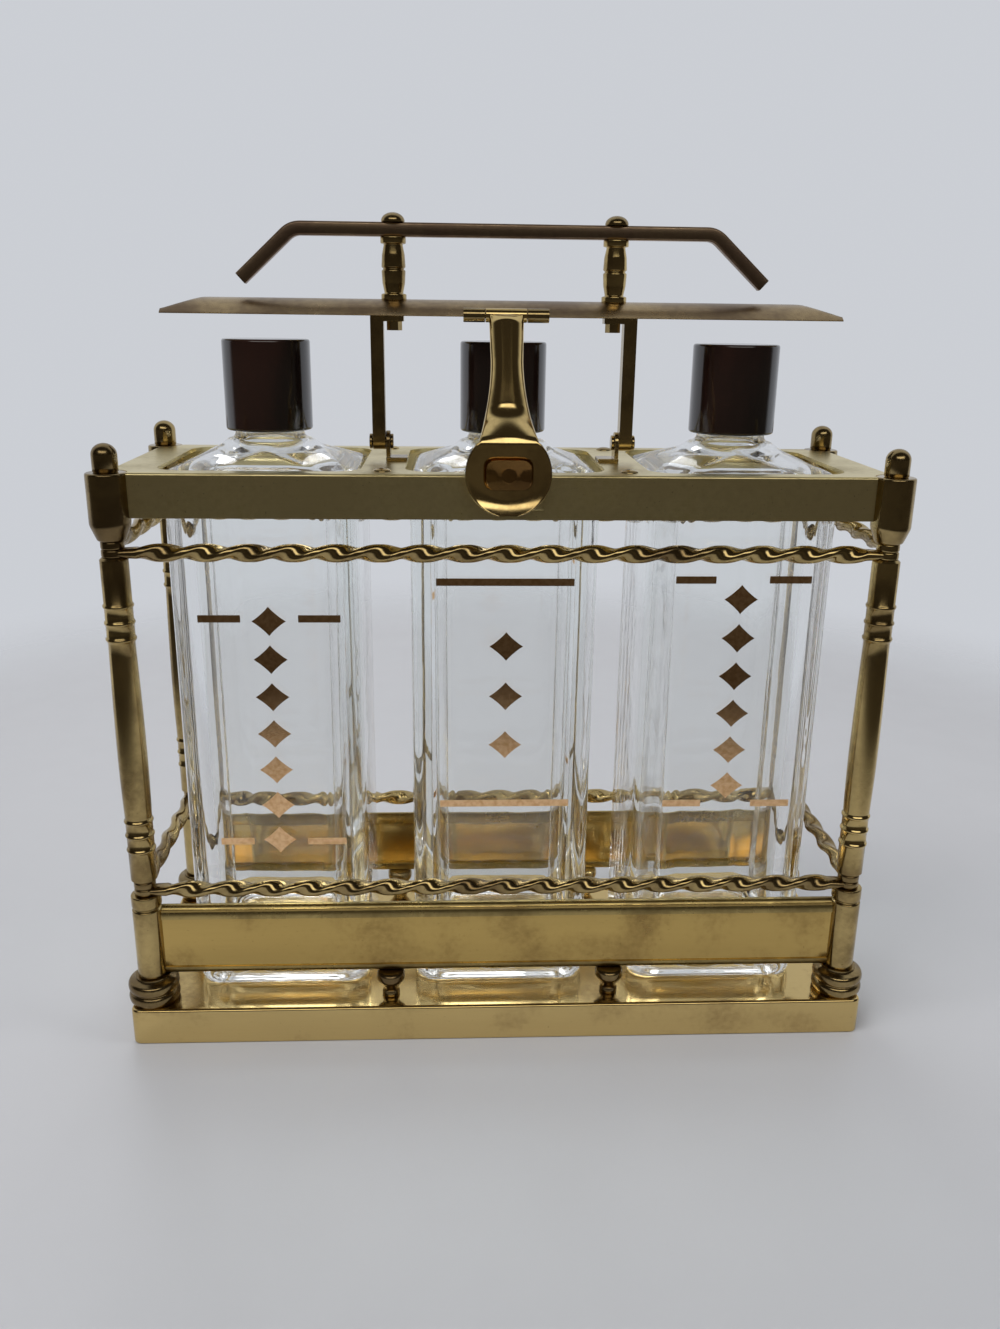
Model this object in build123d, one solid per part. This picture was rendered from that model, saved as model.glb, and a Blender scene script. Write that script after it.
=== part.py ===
from build123d import *
import math
import os

# Antique three-bottle tantalus: a brass stand with a hinged locking bar over square bottles.
# Millimetres. X runs along the row of bottles, Y to the back, Z up; the origin is the centre
# of the base's underside.

# ---- stand, overall ----
BASE_LENGTH = 241.0
BASE_DEPTH = 85.6
BASE_HEIGHT = 12.5
BASE_WALL = 1.2
BASE_CORNER_RADIUS = 3.0
BASE_TOP_EDGE_RADIUS = 1.0
PAD_THICKNESS = 1.6
COLUMN_INSET_X = 6.4          # column axis, in from the base's ends
COLUMN_INSET_Y = 8.1          # and from its long sides
COLUMN_X = BASE_LENGTH / 2 - COLUMN_INSET_X
COLUMN_Y = BASE_DEPTH / 2 - COLUMN_INSET_Y

# ---- columns, from the base up; every turned piece is threaded on one tie rod ----
ROD_RADIUS = 2.0
ROD_CLEARANCE = 0.1
FOOT_RADIUS = 8.1
FOOT_RING_HEIGHT = 4.0
FOOT_COLLAR_RADIUS = 5.6
FOOT_COLLAR_HEIGHT = 1.2
LOWER_TUBE_RADIUS = 4.7
LOWER_TUBE_LENGTH = 29.3
TUBE_GROOVE_DROP = 4.6        # groove centre, down from the tube's top
TUBE_GROOVE_DEPTH = 0.55
TURNED_EDGE = 0.6             # bevel on a turned piece's visible rim
SPINDLE_LENGTH = 104.8
SPINDLE_END_RADIUS = 4.1
SPINDLE_SWELL_RADIUS = 4.4
SPINDLE_TOP_SHAFT_RADIUS = 3.9
BEAD_RADIUS = 0.65
BEAD_STANDS_PROUD = 0.35
LOWER_BEADS_UP = (11.2, 16.2, 21.0)    # from the spindle's bottom
UPPER_BEADS_DOWN = (14.5, 19.6, 24.6)  # from the spindle's top
COLLAR_RADIUS = 5.85
COLLAR_TAPER_HEIGHT = 4.7
COLLAR_HEIGHT = 19.6
FINIAL_RADIUS = 3.6
FINIAL_HEIGHT = 8.2
FINIAL_DOME_RADIUS = 2.7
ROD_NUT_RADIUS = 3.6
ROD_NUT_HEIGHT = 3.0
ROD_END = 1.0                 # rod stands out below its nut

# ---- twisted rails ----
WIRE_RADIUS = 1.4
TWIST_PITCH = 25.6
TWIST_STEPS_PER_TURN = 6
WIRE_SIDES = 6
WIRE_OFFSET = 1.3             # wire's axis, out from the rail's axis; leaves a hairline between them
EYE_THICKNESS = 2.4
EYE_RADIUS = 3.4
TONGUE_LENGTH = 3.4

# ---- bands between the lower tubes ----
BAND_RISE = 9.3               # band's lower edge above the base
BAND_HEIGHT = 24.4
BAND_SHEET = 1.0
BAND_TOP_ROLL_RADIUS = 2.1
BAND_BOTTOM_ROLL_RADIUS = 1.5
BAND_ROLL_PROUD = 0.4         # rolls stand out in front of the sheet

# ---- top frame ----
FRAME_SHEET = 1.2
FRAME_FLANGE_HEIGHT = 13.0
FRAME_OVERHANG = 1.0          # frame's outer face, out from the column axes
FRAME_EDGE_RADIUS = 0.8
WELL_CLEARANCE = 1.2          # bottle to the edge of its opening
RIVET_HEAD_RADIUS = 2.6
RIVET_HEAD_HEIGHT = 0.9
RIVET_SHANK_RADIUS = 1.4
RIVET_Y = 28.6

# ---- bottles and caps ----
BOTTLE_PITCH = 72.7
BOTTLE_SIDE = 57.4
BOTTLE_CORNER_RADIUS = 7.0
BOTTLE_WALL = 3.6
BOTTLE_FLOOR = 7.0
BOTTLE_BODY_HEIGHT = 171.0
BOTTLE_HEEL_RADIUS = 2.0
BOTTLE_INNER_CORNER_RADIUS = 8.5
SHOULDER_HEIGHT = 8.0
SHOULDER_RADIUS = 12.6
NEARLY_ROUND = 0.5            # short flat left on a rounded square that meets a circle
NECK_RADIUS = 10.6
NECK_BORE_RADIUS = 7.6
NECK_HEIGHT = 25.0
CAP_RADIUS = 13.3
CAP_HEIGHT = 27.0
CAP_GAP = 2.6                 # cap's skirt above the shoulder
CAP_BORE_CLEARANCE = 0.35
CAP_EDGE = 0.7
LINER_THICKNESS = 1.6

# ---- spools that carry the bands at mid span ----
SPOOL_RADIUS = 4.6
SPOOL_FOOT_RADIUS = 2.9
SPOOL_RING_HEIGHT = 3.6
SPOOL_FLARE = 0.3
SPOOL_EDGE = 0.5
SPOOL_TOP_EDGE = 0.8

# ---- locking bar and its arms ----
PIVOT_RISE = 5.8              # arm rivet above the frame's plate
LID_Y = -2.5                  # centre line of arms, bar and handle
ARM_X = 38.5
ARM_WIDTH = 4.0
ARM_DEPTH = 5.0
ARM_FOOT_THICKNESS = 1.6
ARM_FOOT_RIM = 1.4            # metal round the screw's hole in the turned-in end
BAR_RISE = 37.4               # bar's underside above the arm rivets
BAR_LENGTH = 202.0
BAR_POINT_LENGTH = 10.5
BAR_WIDTH = 22.0
BAR_LIP_HEIGHT = 1.3
BAR_HEIGHT = 4.8
LUG_WIDTH = 1.3
LUG_DEPTH = 8.0
LUG_RADIUS = 3.3
LUG_FOOT_WIDTH = 6.5
LUG_FOOT_THICKNESS = 1.2
HINGE_RIVET_RADIUS = 1.3
HINGE_RIVET_HEAD_RADIUS = 2.3
HINGE_RIVET_HEAD_HEIGHT = 0.9
RUNNING_GAP = 0.05            # radial gap of a pin that turns
SIDE_GAP = 0.15               # between hinge leaves

# ---- handle on its two turned posts ----
POST_X = 33.3
POST_HEIGHT = 18.0
POST_FLANGE_RADIUS = 3.8
POST_FLANGE_HEIGHT = 1.9
POST_BARREL_RADIUS = 3.2
POST_GROOVE_DEPTH = 0.6
POST_SEAT_DEPTH = 0.45        # flat seat cut in the bar's crown under a post
HANDLE_BAR = 4.0
HANDLE_LENGTH = 158.0
HANDLE_FLAT_LENGTH = 126.0
HANDLE_DROP = 14.5
HANDLE_BEND_RADIUS = 5.0
POST_SCREW_RADIUS = 1.5
POST_SCREW_HEAD_RADIUS = 3.5
POST_SCREW_HEAD_HEIGHT = 2.8
POST_NUT_RADIUS = 2.35
POST_NUT_HEIGHT = 2.6

# ---- hasp, hinged on the bar's front edge ----
KNUCKLE_RADIUS = 2.0
KNUCKLE_LENGTH = 6.3
HASP_KNUCKLE_LENGTH = 12.5
HASP_PIN_RADIUS = 0.9
HASP_HINGE_RISE = 0.5         # pin's axis above the bar's underside
HASP_SHEET = 1.2
HASP_STAND_OFF = 4.8          # back of the hasp's disc, out from the frame's flange
HASP_NECK_WIDTH = 8.6
HASP_FLARE_WIDTH = 16.8
HASP_FLARE_RISE = 8.0         # widest point of the neck, above the knob's axis
HASP_WAIST_RISE = 30.0        # narrowest point of the neck, above the knob's axis
HASP_DISC_RADIUS = 12.3
HASP_STRAIGHT_DROP = 7.0      # upright run of the sheet below the hinge
HASP_FOOT_RISE = 6.5          # where the slope meets the upright disc, above the knob's axis
HASP_BEND_RADIUS = 3.3
HASP_LIP_DROP = 5.0
HASP_LIP_CURL = 3.0           # how far the lower lip comes forward
HASP_LIP_RISE = 4.5           # start of the curl, above the disc's lowest point
KNOB_RISE = 1.1               # knob's axis above the frame's plate
KNOB_WIDTH = 12.8
KNOB_HEIGHT = 8.2
KNOB_THICKNESS = 3.4
KNOB_CORNER_RADIUS = 2.6
KNOB_EDGE = 0.6
KNOB_SHAFT_RADIUS = 2.2
KNOB_GAP = 0.2
CAM_LENGTH = 9.0
CAM_WIDTH = 4.8
CAM_THICKNESS = 1.6
CAM_STAND_OFF = 1.7           # cam's face behind the hasp's disc
STRIKE_SHEET = 1.0
STRIKE_NEAR_X = 4.2           # strike pocket, from the knob's axis along X
STRIKE_FAR_X = 10.6
STRIKE_CAM_GAP = 0.45
STRIKE_FRONT_GAP = 0.3        # cam's face to the strike's front wall
STRIKE_FOOT_RISE = 3.0        # strike's lower edge above the flange's

# ---- levels that follow from the sizes above ----
BASE_TOP = BASE_HEIGHT
FOOT_TOP = BASE_TOP + 2 * FOOT_RING_HEIGHT + FOOT_COLLAR_HEIGHT
TUBE_TOP = FOOT_TOP + LOWER_TUBE_LENGTH
SPINDLE_BOTTOM = TUBE_TOP + 2 * EYE_THICKNESS
SPINDLE_TOP = SPINDLE_BOTTOM + SPINDLE_LENGTH
COLLAR_BOTTOM = SPINDLE_TOP + 2 * EYE_THICKNESS
COLLAR_TOP = COLLAR_BOTTOM + COLLAR_HEIGHT
PLATE_TOP = COLLAR_TOP
SHOULDER_BOTTOM = BASE_TOP + BOTTLE_BODY_HEIGHT
SHOULDER_TOP = SHOULDER_BOTTOM + SHOULDER_HEIGHT
NECK_TOP = SHOULDER_TOP + NECK_HEIGHT
CAP_BOTTOM = SHOULDER_TOP + CAP_GAP
PIVOT_Z = PLATE_TOP + PIVOT_RISE
BAR_BOTTOM = PIVOT_Z + BAR_RISE
BAR_TOP = BAR_BOTTOM + BAR_HEIGHT
POST_BOTTOM = BAR_TOP - POST_SEAT_DEPTH
HANDLE_BOTTOM = POST_BOTTOM + POST_HEIGHT
FRAME_X = COLUMN_X + FRAME_OVERHANG
FRAME_Y = COLUMN_Y + FRAME_OVERHANG
DISC_BACK_Y = -FRAME_Y - HASP_STAND_OFF
DISC_FRONT_Y = DISC_BACK_Y - HASP_SHEET
HASP_HINGE_Y = LID_Y - BAR_WIDTH / 2 - KNUCKLE_RADIUS
HASP_HINGE_Z = BAR_BOTTOM + HASP_HINGE_RISE
KNOB_Z = PLATE_TOP + KNOB_RISE
LUG_X = ARM_X - ARM_WIDTH / 2 - SIDE_GAP - LUG_WIDTH / 2

CORNERS = {
    "front_left": (-COLUMN_X, -COLUMN_Y),
    "front_right": (COLUMN_X, -COLUMN_Y),
    "back_left": (-COLUMN_X, COLUMN_Y),
    "back_right": (COLUMN_X, COLUMN_Y),
}
BOTTLES = {"left": -BOTTLE_PITCH, "middle": 0.0, "right": BOTTLE_PITCH}
SIDES = {"left": -1, "right": 1}
BORE = ROD_RADIUS + ROD_CLEARANCE


def write(name, *solids):
    """Export one sub-part; identical loose pieces go in one file as separate solids."""
    shape = solids[0] if len(solids) == 1 else Compound(children=list(solids))
    export_step(shape, f"parts/{name}.step")


def disc(radius, bottom, height, x=0.0, y=0.0):
    """Upright cylinder from its bottom level."""
    return Pos(x, y, bottom + height / 2) * Cylinder(radius, height)


def cross_rod(radius, x_from, x_to, y, z):
    """Round rod along X."""
    centre = (x_from + x_to) / 2
    return Pos(centre, y, z) * Rot(0, 90, 0) * Cylinder(radius, abs(x_to - x_from))


def block(low, high):
    """Box between two corners."""
    centre = [(a + b) / 2 for a, b in zip(low, high)]
    size = [b - a for a, b in zip(low, high)]
    return Pos(*centre) * Box(*size)


def turned(edges):
    """Turn a closed half profile, drawn in the XZ plane, about the Z axis."""
    return revolve(make_face(Wire(edges)), Axis.Z)


def half_profile(points):
    """Straight edges through (radius, height) points, closed back to the first."""
    return Polyline([(radius, 0, height) for radius, height in points], close=True).edges()


# ---------------------------------------------------------------- stand

def base_tray():
    """Pressed tray, open underneath, with holes for the tie rods."""
    outer = extrude(RectangleRounded(BASE_LENGTH, BASE_DEPTH, BASE_CORNER_RADIUS), BASE_HEIGHT)
    top_edges = outer.faces().sort_by(Axis.Z)[-1].edges()
    outer = fillet(top_edges, BASE_TOP_EDGE_RADIUS)
    inner = extrude(
        RectangleRounded(
            BASE_LENGTH - 2 * BASE_WALL,
            BASE_DEPTH - 2 * BASE_WALL,
            BASE_CORNER_RADIUS - BASE_WALL,
        ),
        BASE_HEIGHT - BASE_WALL,
    )
    tray = outer - inner
    for x, y in CORNERS.values():
        tray -= disc(BORE, 0, 2 * BASE_HEIGHT, x, y)
    return tray


def base_pad():
    """Baize-covered board that closes the tray flush with its rim."""
    return extrude(
        RectangleRounded(
            BASE_LENGTH - 2 * BASE_WALL,
            BASE_DEPTH - 2 * BASE_WALL,
            BASE_CORNER_RADIUS - BASE_WALL,
        ),
        PAD_THICKNESS,
    )


def foot():
    """Two rounded rings stacked under a short collar."""
    ease = FOOT_RING_HEIGHT / 4
    points = [(BORE, 0), (FOOT_RADIUS - ease, 0)]
    for ring in range(2):
        low = ring * FOOT_RING_HEIGHT
        high = low + FOOT_RING_HEIGHT
        points += [
            (FOOT_RADIUS, low + ease),
            (FOOT_RADIUS, high - ease),
            (FOOT_RADIUS - ease, high),
        ]
    top = 2 * FOOT_RING_HEIGHT
    points += [
        (FOOT_COLLAR_RADIUS, top),
        (FOOT_COLLAR_RADIUS, top + FOOT_COLLAR_HEIGHT),
        (BORE, top + FOOT_COLLAR_HEIGHT),
    ]
    return Pos(0, 0, BASE_TOP) * turned(half_profile(points))


def lower_tube():
    """Plain tube with one turned groove under its top ring."""
    groove_low = TUBE_TOP - TUBE_GROOVE_DROP - TUBE_GROOVE_DEPTH
    groove_high = TUBE_TOP - TUBE_GROOVE_DROP + TUBE_GROOVE_DEPTH
    groove_mid = (groove_low + groove_high) / 2
    return turned(half_profile([
        (BORE, FOOT_TOP),
        (LOWER_TUBE_RADIUS, FOOT_TOP),
        (LOWER_TUBE_RADIUS, groove_low),
        (LOWER_TUBE_RADIUS - TUBE_GROOVE_DEPTH, groove_mid),
        (LOWER_TUBE_RADIUS, groove_high),
        (LOWER_TUBE_RADIUS, TUBE_TOP - TURNED_EDGE),
        (LOWER_TUBE_RADIUS - TURNED_EDGE, TUBE_TOP),
        (BORE, TUBE_TOP),
    ]))


def bead(radius, level):
    """Half profile of one raised bead, from below it to above it."""
    flat = BEAD_RADIUS / 3
    return [
        (radius, 0, level - BEAD_RADIUS),
        (radius + BEAD_STANDS_PROUD, 0, level - flat),
        (radius + BEAD_STANDS_PROUD, 0, level + flat),
        (radius, 0, level + BEAD_RADIUS),
    ]


def spindle():
    """Swelling turned shaft with three raised beads near each end."""
    edge = SPINDLE_END_RADIUS - EYE_RADIUS
    lower_beads = []
    for up in LOWER_BEADS_UP:
        lower_beads += bead(SPINDLE_END_RADIUS, SPINDLE_BOTTOM + up)
    upper_beads = []
    for down in reversed(UPPER_BEADS_DOWN):
        upper_beads += bead(SPINDLE_END_RADIUS, SPINDLE_TOP - down)
    shaft_low = lower_beads[-1][2]
    shaft_high = upper_beads[0][2] - BEAD_RADIUS
    lower_end = [
        (BORE, 0, SPINDLE_BOTTOM),
        (EYE_RADIUS, 0, SPINDLE_BOTTOM),
        (SPINDLE_END_RADIUS, 0, SPINDLE_BOTTOM + edge),
    ]
    upper_end = [
        (SPINDLE_END_RADIUS, 0, SPINDLE_TOP - edge),
        (EYE_RADIUS, 0, SPINDLE_TOP),
        (BORE, 0, SPINDLE_TOP),
        (BORE, 0, SPINDLE_BOTTOM),
    ]
    swell = ThreePointArc(
        (SPINDLE_END_RADIUS, 0, shaft_low),
        (SPINDLE_SWELL_RADIUS, 0, (2 * shaft_low + shaft_high) / 3),
        (SPINDLE_TOP_SHAFT_RADIUS, 0, shaft_high),
    )
    lower = Polyline(lower_end + lower_beads)
    upper = Polyline([(SPINDLE_TOP_SHAFT_RADIUS, 0, shaft_high)] + upper_beads + upper_end)
    return turned(lower.edges() + swell.edges() + upper.edges())


def collar():
    """Top collar, tapered down to the rail eyes."""
    return turned(half_profile([
        (BORE, COLLAR_BOTTOM),
        (EYE_RADIUS + TURNED_EDGE, COLLAR_BOTTOM),
        (COLLAR_RADIUS, COLLAR_BOTTOM + COLLAR_TAPER_HEIGHT),
        (COLLAR_RADIUS, COLLAR_TOP - TURNED_EDGE),
        (COLLAR_RADIUS - TURNED_EDGE, COLLAR_TOP),
        (BORE, COLLAR_TOP),
    ]))


def finial_rod():
    """Domed finial in one piece with the tie rod that runs down through the column."""
    head = fillet(
        disc(FINIAL_RADIUS, COLLAR_TOP, FINIAL_HEIGHT).edges().sort_by(Axis.Z)[-1:],
        FINIAL_DOME_RADIUS,
    )
    rod_bottom = BASE_TOP - BASE_WALL - ROD_NUT_HEIGHT - ROD_END
    return head + disc(ROD_RADIUS, rod_bottom, COLLAR_TOP - rod_bottom)


def rod_nut():
    """Hexagon nut that clamps the column from inside the tray."""
    blank = extrude(RegularPolygon(ROD_NUT_RADIUS, 6), ROD_NUT_HEIGHT)
    bored = blank - disc(ROD_RADIUS, -1, ROD_NUT_HEIGHT + 2)
    return Pos(0, 0, BASE_TOP - BASE_WALL - ROD_NUT_HEIGHT) * bored


# ---------------------------------------------------------------- twisted rails

def strand(length, start_angle):
    """One wire of the twist along X, as a ruled loft through turning polygon sections."""
    turns = length / TWIST_PITCH
    steps = max(4, round(turns * TWIST_STEPS_PER_TURN))
    sections = []
    for step in range(steps + 1):
        along = length * step / steps
        angle = start_angle + 2 * math.pi * along / TWIST_PITCH
        radial = (0, math.cos(angle), math.sin(angle))
        centre = (along, WIRE_OFFSET * radial[1], WIRE_OFFSET * radial[2])
        plane = Plane(origin=centre, x_dir=radial, z_dir=(1, 0, 0))
        sections.append(plane * RegularPolygon(WIRE_RADIUS, WIRE_SIDES, rotation=180 / WIRE_SIDES))
    return loft(sections, ruled=True)


def rail_eye():
    """Flattened end of the two wires: a ring round the tie rod, and the tongue into the twist."""
    tongue = block(
        (0, -2 * WIRE_RADIUS, -EYE_THICKNESS / 2),
        (EYE_RADIUS + TONGUE_LENGTH, 2 * WIRE_RADIUS, EYE_THICKNESS / 2),
    )
    ring = disc(EYE_RADIUS, -EYE_THICKNESS / 2, EYE_THICKNESS)
    return tongue + ring - disc(BORE, -EYE_THICKNESS, 2 * EYE_THICKNESS)


def twisted_rail(span):
    """Two wires twisted together between their flattened eyes; along X from 0 to span."""
    twist_start = EYE_RADIUS + TONGUE_LENGTH
    twist_length = span - 2 * twist_start
    rail = rail_eye() + Pos(span, 0, 0) * Rot(0, 0, 180) * rail_eye()
    for start_angle in (0, math.pi):
        rail += Pos(twist_start, 0, 0) * strand(twist_length, start_angle)
    return rail


def rails():
    """Eight rails: at each level the long eyes lie under the short ones."""
    long_rail = twisted_rail(2 * COLUMN_X)
    short_rail = Rot(0, 0, 90) * twisted_rail(2 * COLUMN_Y)
    for level_name, level in (("lower", TUBE_TOP), ("upper", SPINDLE_TOP)):
        long_z = level + EYE_THICKNESS / 2
        short_z = level + EYE_THICKNESS * 1.5
        for side, sign in (("front", -1), ("back", 1)):
            write(f"{level_name}_rail_{side}", Pos(-COLUMN_X, sign * COLUMN_Y, long_z) * long_rail)
        for side, sign in SIDES.items():
            write(f"{level_name}_rail_{side}", Pos(sign * COLUMN_X, -COLUMN_Y, short_z) * short_rail)


# ---------------------------------------------------------------- bands, spools, top frame

def band():
    """Sheet band with rolled lips, its ends hollowed to seat on the lower tubes."""
    bottom = BASE_TOP + BAND_RISE
    top = bottom + BAND_HEIGHT
    sheet = block(
        (-COLUMN_X, -BAND_SHEET, bottom + BAND_BOTTOM_ROLL_RADIUS),
        (COLUMN_X, 0, top - BAND_TOP_ROLL_RADIUS),
    )
    top_roll = cross_rod(
        BAND_TOP_ROLL_RADIUS, -COLUMN_X, COLUMN_X,
        BAND_TOP_ROLL_RADIUS - BAND_SHEET - BAND_ROLL_PROUD, top - BAND_TOP_ROLL_RADIUS,
    )
    bottom_roll = cross_rod(
        BAND_BOTTOM_ROLL_RADIUS, -COLUMN_X, COLUMN_X,
        BAND_BOTTOM_ROLL_RADIUS - BAND_SHEET - BAND_ROLL_PROUD, bottom + BAND_BOTTOM_ROLL_RADIUS,
    )
    body = sheet + top_roll + bottom_roll
    for x in (-COLUMN_X, COLUMN_X):
        body -= disc(LOWER_TUBE_RADIUS, 0, 2 * top, x)
    return body


def top_frame():
    """Flanged plate with three square openings; its corners seat on the collars."""
    bottom = PLATE_TOP - FRAME_FLANGE_HEIGHT
    outer = block((-FRAME_X, -FRAME_Y, bottom), (FRAME_X, FRAME_Y, PLATE_TOP))
    outer = fillet(outer.faces().sort_by(Axis.Z)[-1].edges(), FRAME_EDGE_RADIUS)
    inner_x = FRAME_X - FRAME_SHEET
    inner_y = FRAME_Y - FRAME_SHEET
    frame = outer - block(
        (-inner_x, -inner_y, bottom - 1), (inner_x, inner_y, PLATE_TOP - FRAME_SHEET)
    )
    well = BOTTLE_SIDE + 2 * WELL_CLEARANCE
    well_cut = extrude(
        RectangleRounded(well, well, BOTTLE_CORNER_RADIUS + WELL_CLEARANCE), 4 * FRAME_SHEET
    )
    for x in BOTTLES.values():
        frame -= Pos(x, 0, PLATE_TOP - 2 * FRAME_SHEET) * well_cut
    for x, y in CORNERS.values():
        frame -= disc(COLLAR_RADIUS, bottom - 1, FRAME_FLANGE_HEIGHT + 2, x, y)
    for x, y in rivet_places():
        frame -= disc(RIVET_SHANK_RADIUS, PLATE_TOP - 2 * FRAME_SHEET, 4 * FRAME_SHEET, x, y)
    return frame


def rivet_places():
    """Two rivets on each strip of plate between the bottles."""
    return [(x, y) for x in (-BOTTLE_PITCH / 2, BOTTLE_PITCH / 2) for y in (-RIVET_Y, RIVET_Y)]


def dome(radius, height, bottom):
    """Low spherical cap standing on a level."""
    sphere_radius = (radius ** 2 + height ** 2) / (2 * height)
    ball = Pos(0, 0, bottom + height - sphere_radius) * Sphere(sphere_radius)
    return ball & disc(radius, bottom, height)


def plate_rivet():
    """Rivet through the plate, with a low domed head on top."""
    return dome(RIVET_HEAD_RADIUS, RIVET_HEAD_HEIGHT, PLATE_TOP) + disc(
        RIVET_SHANK_RADIUS, PLATE_TOP - FRAME_SHEET, FRAME_SHEET
    )


def band_spool():
    """Turned spool standing on the base, under a band's lower roll."""
    ring_bottom = BAND_RISE - SPOOL_RING_HEIGHT
    body = turned(half_profile([
        (0, 0),
        (SPOOL_FOOT_RADIUS, 0),
        (SPOOL_FOOT_RADIUS + SPOOL_FLARE, ring_bottom / 2),
        (SPOOL_RADIUS - SPOOL_EDGE, ring_bottom),
        (SPOOL_RADIUS, ring_bottom + SPOOL_EDGE),
        (SPOOL_RADIUS, BAND_RISE - SPOOL_TOP_EDGE),
        (SPOOL_RADIUS - SPOOL_TOP_EDGE, BAND_RISE),
        (0, BAND_RISE),
    ]))
    return Pos(0, 0, BASE_TOP) * body


def hinge_lug(sign):
    """Ear for one arm, on a foot fixed to the plate."""
    x_low = LUG_X - LUG_WIDTH / 2
    x_high = LUG_X + LUG_WIDTH / 2
    ear = block(
        (x_low, LID_Y - LUG_RADIUS, PLATE_TOP), (x_high, LID_Y + LUG_RADIUS, PIVOT_Z)
    )
    ear += cross_rod(LUG_RADIUS, x_low, x_high, LID_Y, PIVOT_Z)
    ear += block(
        (x_high - LUG_FOOT_WIDTH, LID_Y - LUG_DEPTH / 2, PLATE_TOP),
        (x_high, LID_Y + LUG_DEPTH / 2, PLATE_TOP + LUG_FOOT_THICKNESS),
    )
    ear -= cross_rod(HINGE_RIVET_RADIUS, x_low - 1, x_high + 1, LID_Y, PIVOT_Z)
    return ear if sign > 0 else mirror(ear, Plane.YZ)


def hinge_rivet(sign):
    """Rivet fast in the lug; the arm turns on it between the lug and the outer head."""
    outer_face = ARM_X + ARM_WIDTH / 2 + SIDE_GAP
    inner_face = LUG_X - LUG_WIDTH / 2
    rivet = cross_rod(HINGE_RIVET_RADIUS, inner_face, outer_face, LID_Y, PIVOT_Z)
    for start, end in (
        (inner_face - HINGE_RIVET_HEAD_HEIGHT, inner_face),
        (outer_face, outer_face + HINGE_RIVET_HEAD_HEIGHT),
    ):
        rivet += cross_rod(HINGE_RIVET_HEAD_RADIUS, start, end, LID_Y, PIVOT_Z)
    return rivet if sign > 0 else mirror(rivet, Plane.YZ)


def strike():
    """Hooked plate on the frame's flange; the cam turns in under it from below."""
    back = -FRAME_Y
    wall_back = DISC_BACK_Y + CAM_STAND_OFF - STRIKE_FRONT_GAP
    roof = KNOB_Z + CAM_WIDTH / 2 + STRIKE_CAM_GAP
    foot_bottom = PLATE_TOP - FRAME_FLANGE_HEIGHT + STRIKE_FOOT_RISE
    plate = block(
        (STRIKE_NEAR_X, back - STRIKE_SHEET, foot_bottom),
        (STRIKE_FAR_X, back, roof + STRIKE_SHEET),
    )
    cover = block(
        (STRIKE_NEAR_X, wall_back - STRIKE_SHEET, roof),
        (STRIKE_FAR_X, back, roof + STRIKE_SHEET),
    )
    front = block(
        (STRIKE_NEAR_X, wall_back - STRIKE_SHEET, KNOB_Z - CAM_WIDTH / 2),
        (STRIKE_FAR_X, wall_back, roof + STRIKE_SHEET),
    )
    return plate + cover + front


# ---------------------------------------------------------------- bottles

def rounded_prism(side, corner, bottom, height):
    """Square prism with rounded upright edges."""
    return Pos(0, 0, bottom) * extrude(RectangleRounded(side, side, corner), height)


def bottle():
    """Square blown bottle, hollow, with a low shoulder and a plain neck."""
    body = rounded_prism(BOTTLE_SIDE, BOTTLE_CORNER_RADIUS, BASE_TOP, BOTTLE_BODY_HEIGHT)
    shoulder = loft([
        Pos(0, 0, SHOULDER_BOTTOM) * RectangleRounded(BOTTLE_SIDE, BOTTLE_SIDE, BOTTLE_CORNER_RADIUS),
        Pos(0, 0, SHOULDER_TOP) * RectangleRounded(
            2 * SHOULDER_RADIUS, 2 * SHOULDER_RADIUS, SHOULDER_RADIUS - NEARLY_ROUND
        ),
    ])
    outside = body + shoulder + disc(NECK_RADIUS, SHOULDER_TOP, NECK_HEIGHT)
    outside = fillet(outside.faces().sort_by(Axis.Z)[0].edges(), BOTTLE_HEEL_RADIUS)
    inner_side = BOTTLE_SIDE - 2 * BOTTLE_WALL
    inner_corner = BOTTLE_INNER_CORNER_RADIUS
    cavity_bottom = BASE_TOP + BOTTLE_FLOOR
    cavity_top = SHOULDER_BOTTOM - BOTTLE_WALL / 2
    cavity = rounded_prism(inner_side, inner_corner, cavity_bottom, cavity_top - cavity_bottom)
    cavity += loft([
        Pos(0, 0, cavity_top) * RectangleRounded(inner_side, inner_side, inner_corner),
        Pos(0, 0, SHOULDER_TOP - BOTTLE_WALL / 2) * RectangleRounded(
            2 * NECK_BORE_RADIUS, 2 * NECK_BORE_RADIUS, NECK_BORE_RADIUS - NEARLY_ROUND
        ),
    ])
    bore_bottom = SHOULDER_TOP - BOTTLE_WALL
    cavity += disc(NECK_BORE_RADIUS, bore_bottom, NECK_TOP + 1 - bore_bottom)
    return outside - cavity


def cap():
    """Screw cap, turned plastic, open underneath."""
    shell = disc(CAP_RADIUS, CAP_BOTTOM, CAP_HEIGHT)
    shell = chamfer(shell.edges().sort_by(Axis.Z)[-1:], CAP_EDGE)
    bore_height = NECK_TOP + LINER_THICKNESS - CAP_BOTTOM
    return shell - disc(NECK_RADIUS + CAP_BORE_CLEARANCE, CAP_BOTTOM, bore_height)


def cap_liner():
    """Soft sealing disc between the cap and the neck's rim."""
    return disc(NECK_RADIUS, NECK_TOP, LINER_THICKNESS)


# ---------------------------------------------------------------- locking bar

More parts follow.
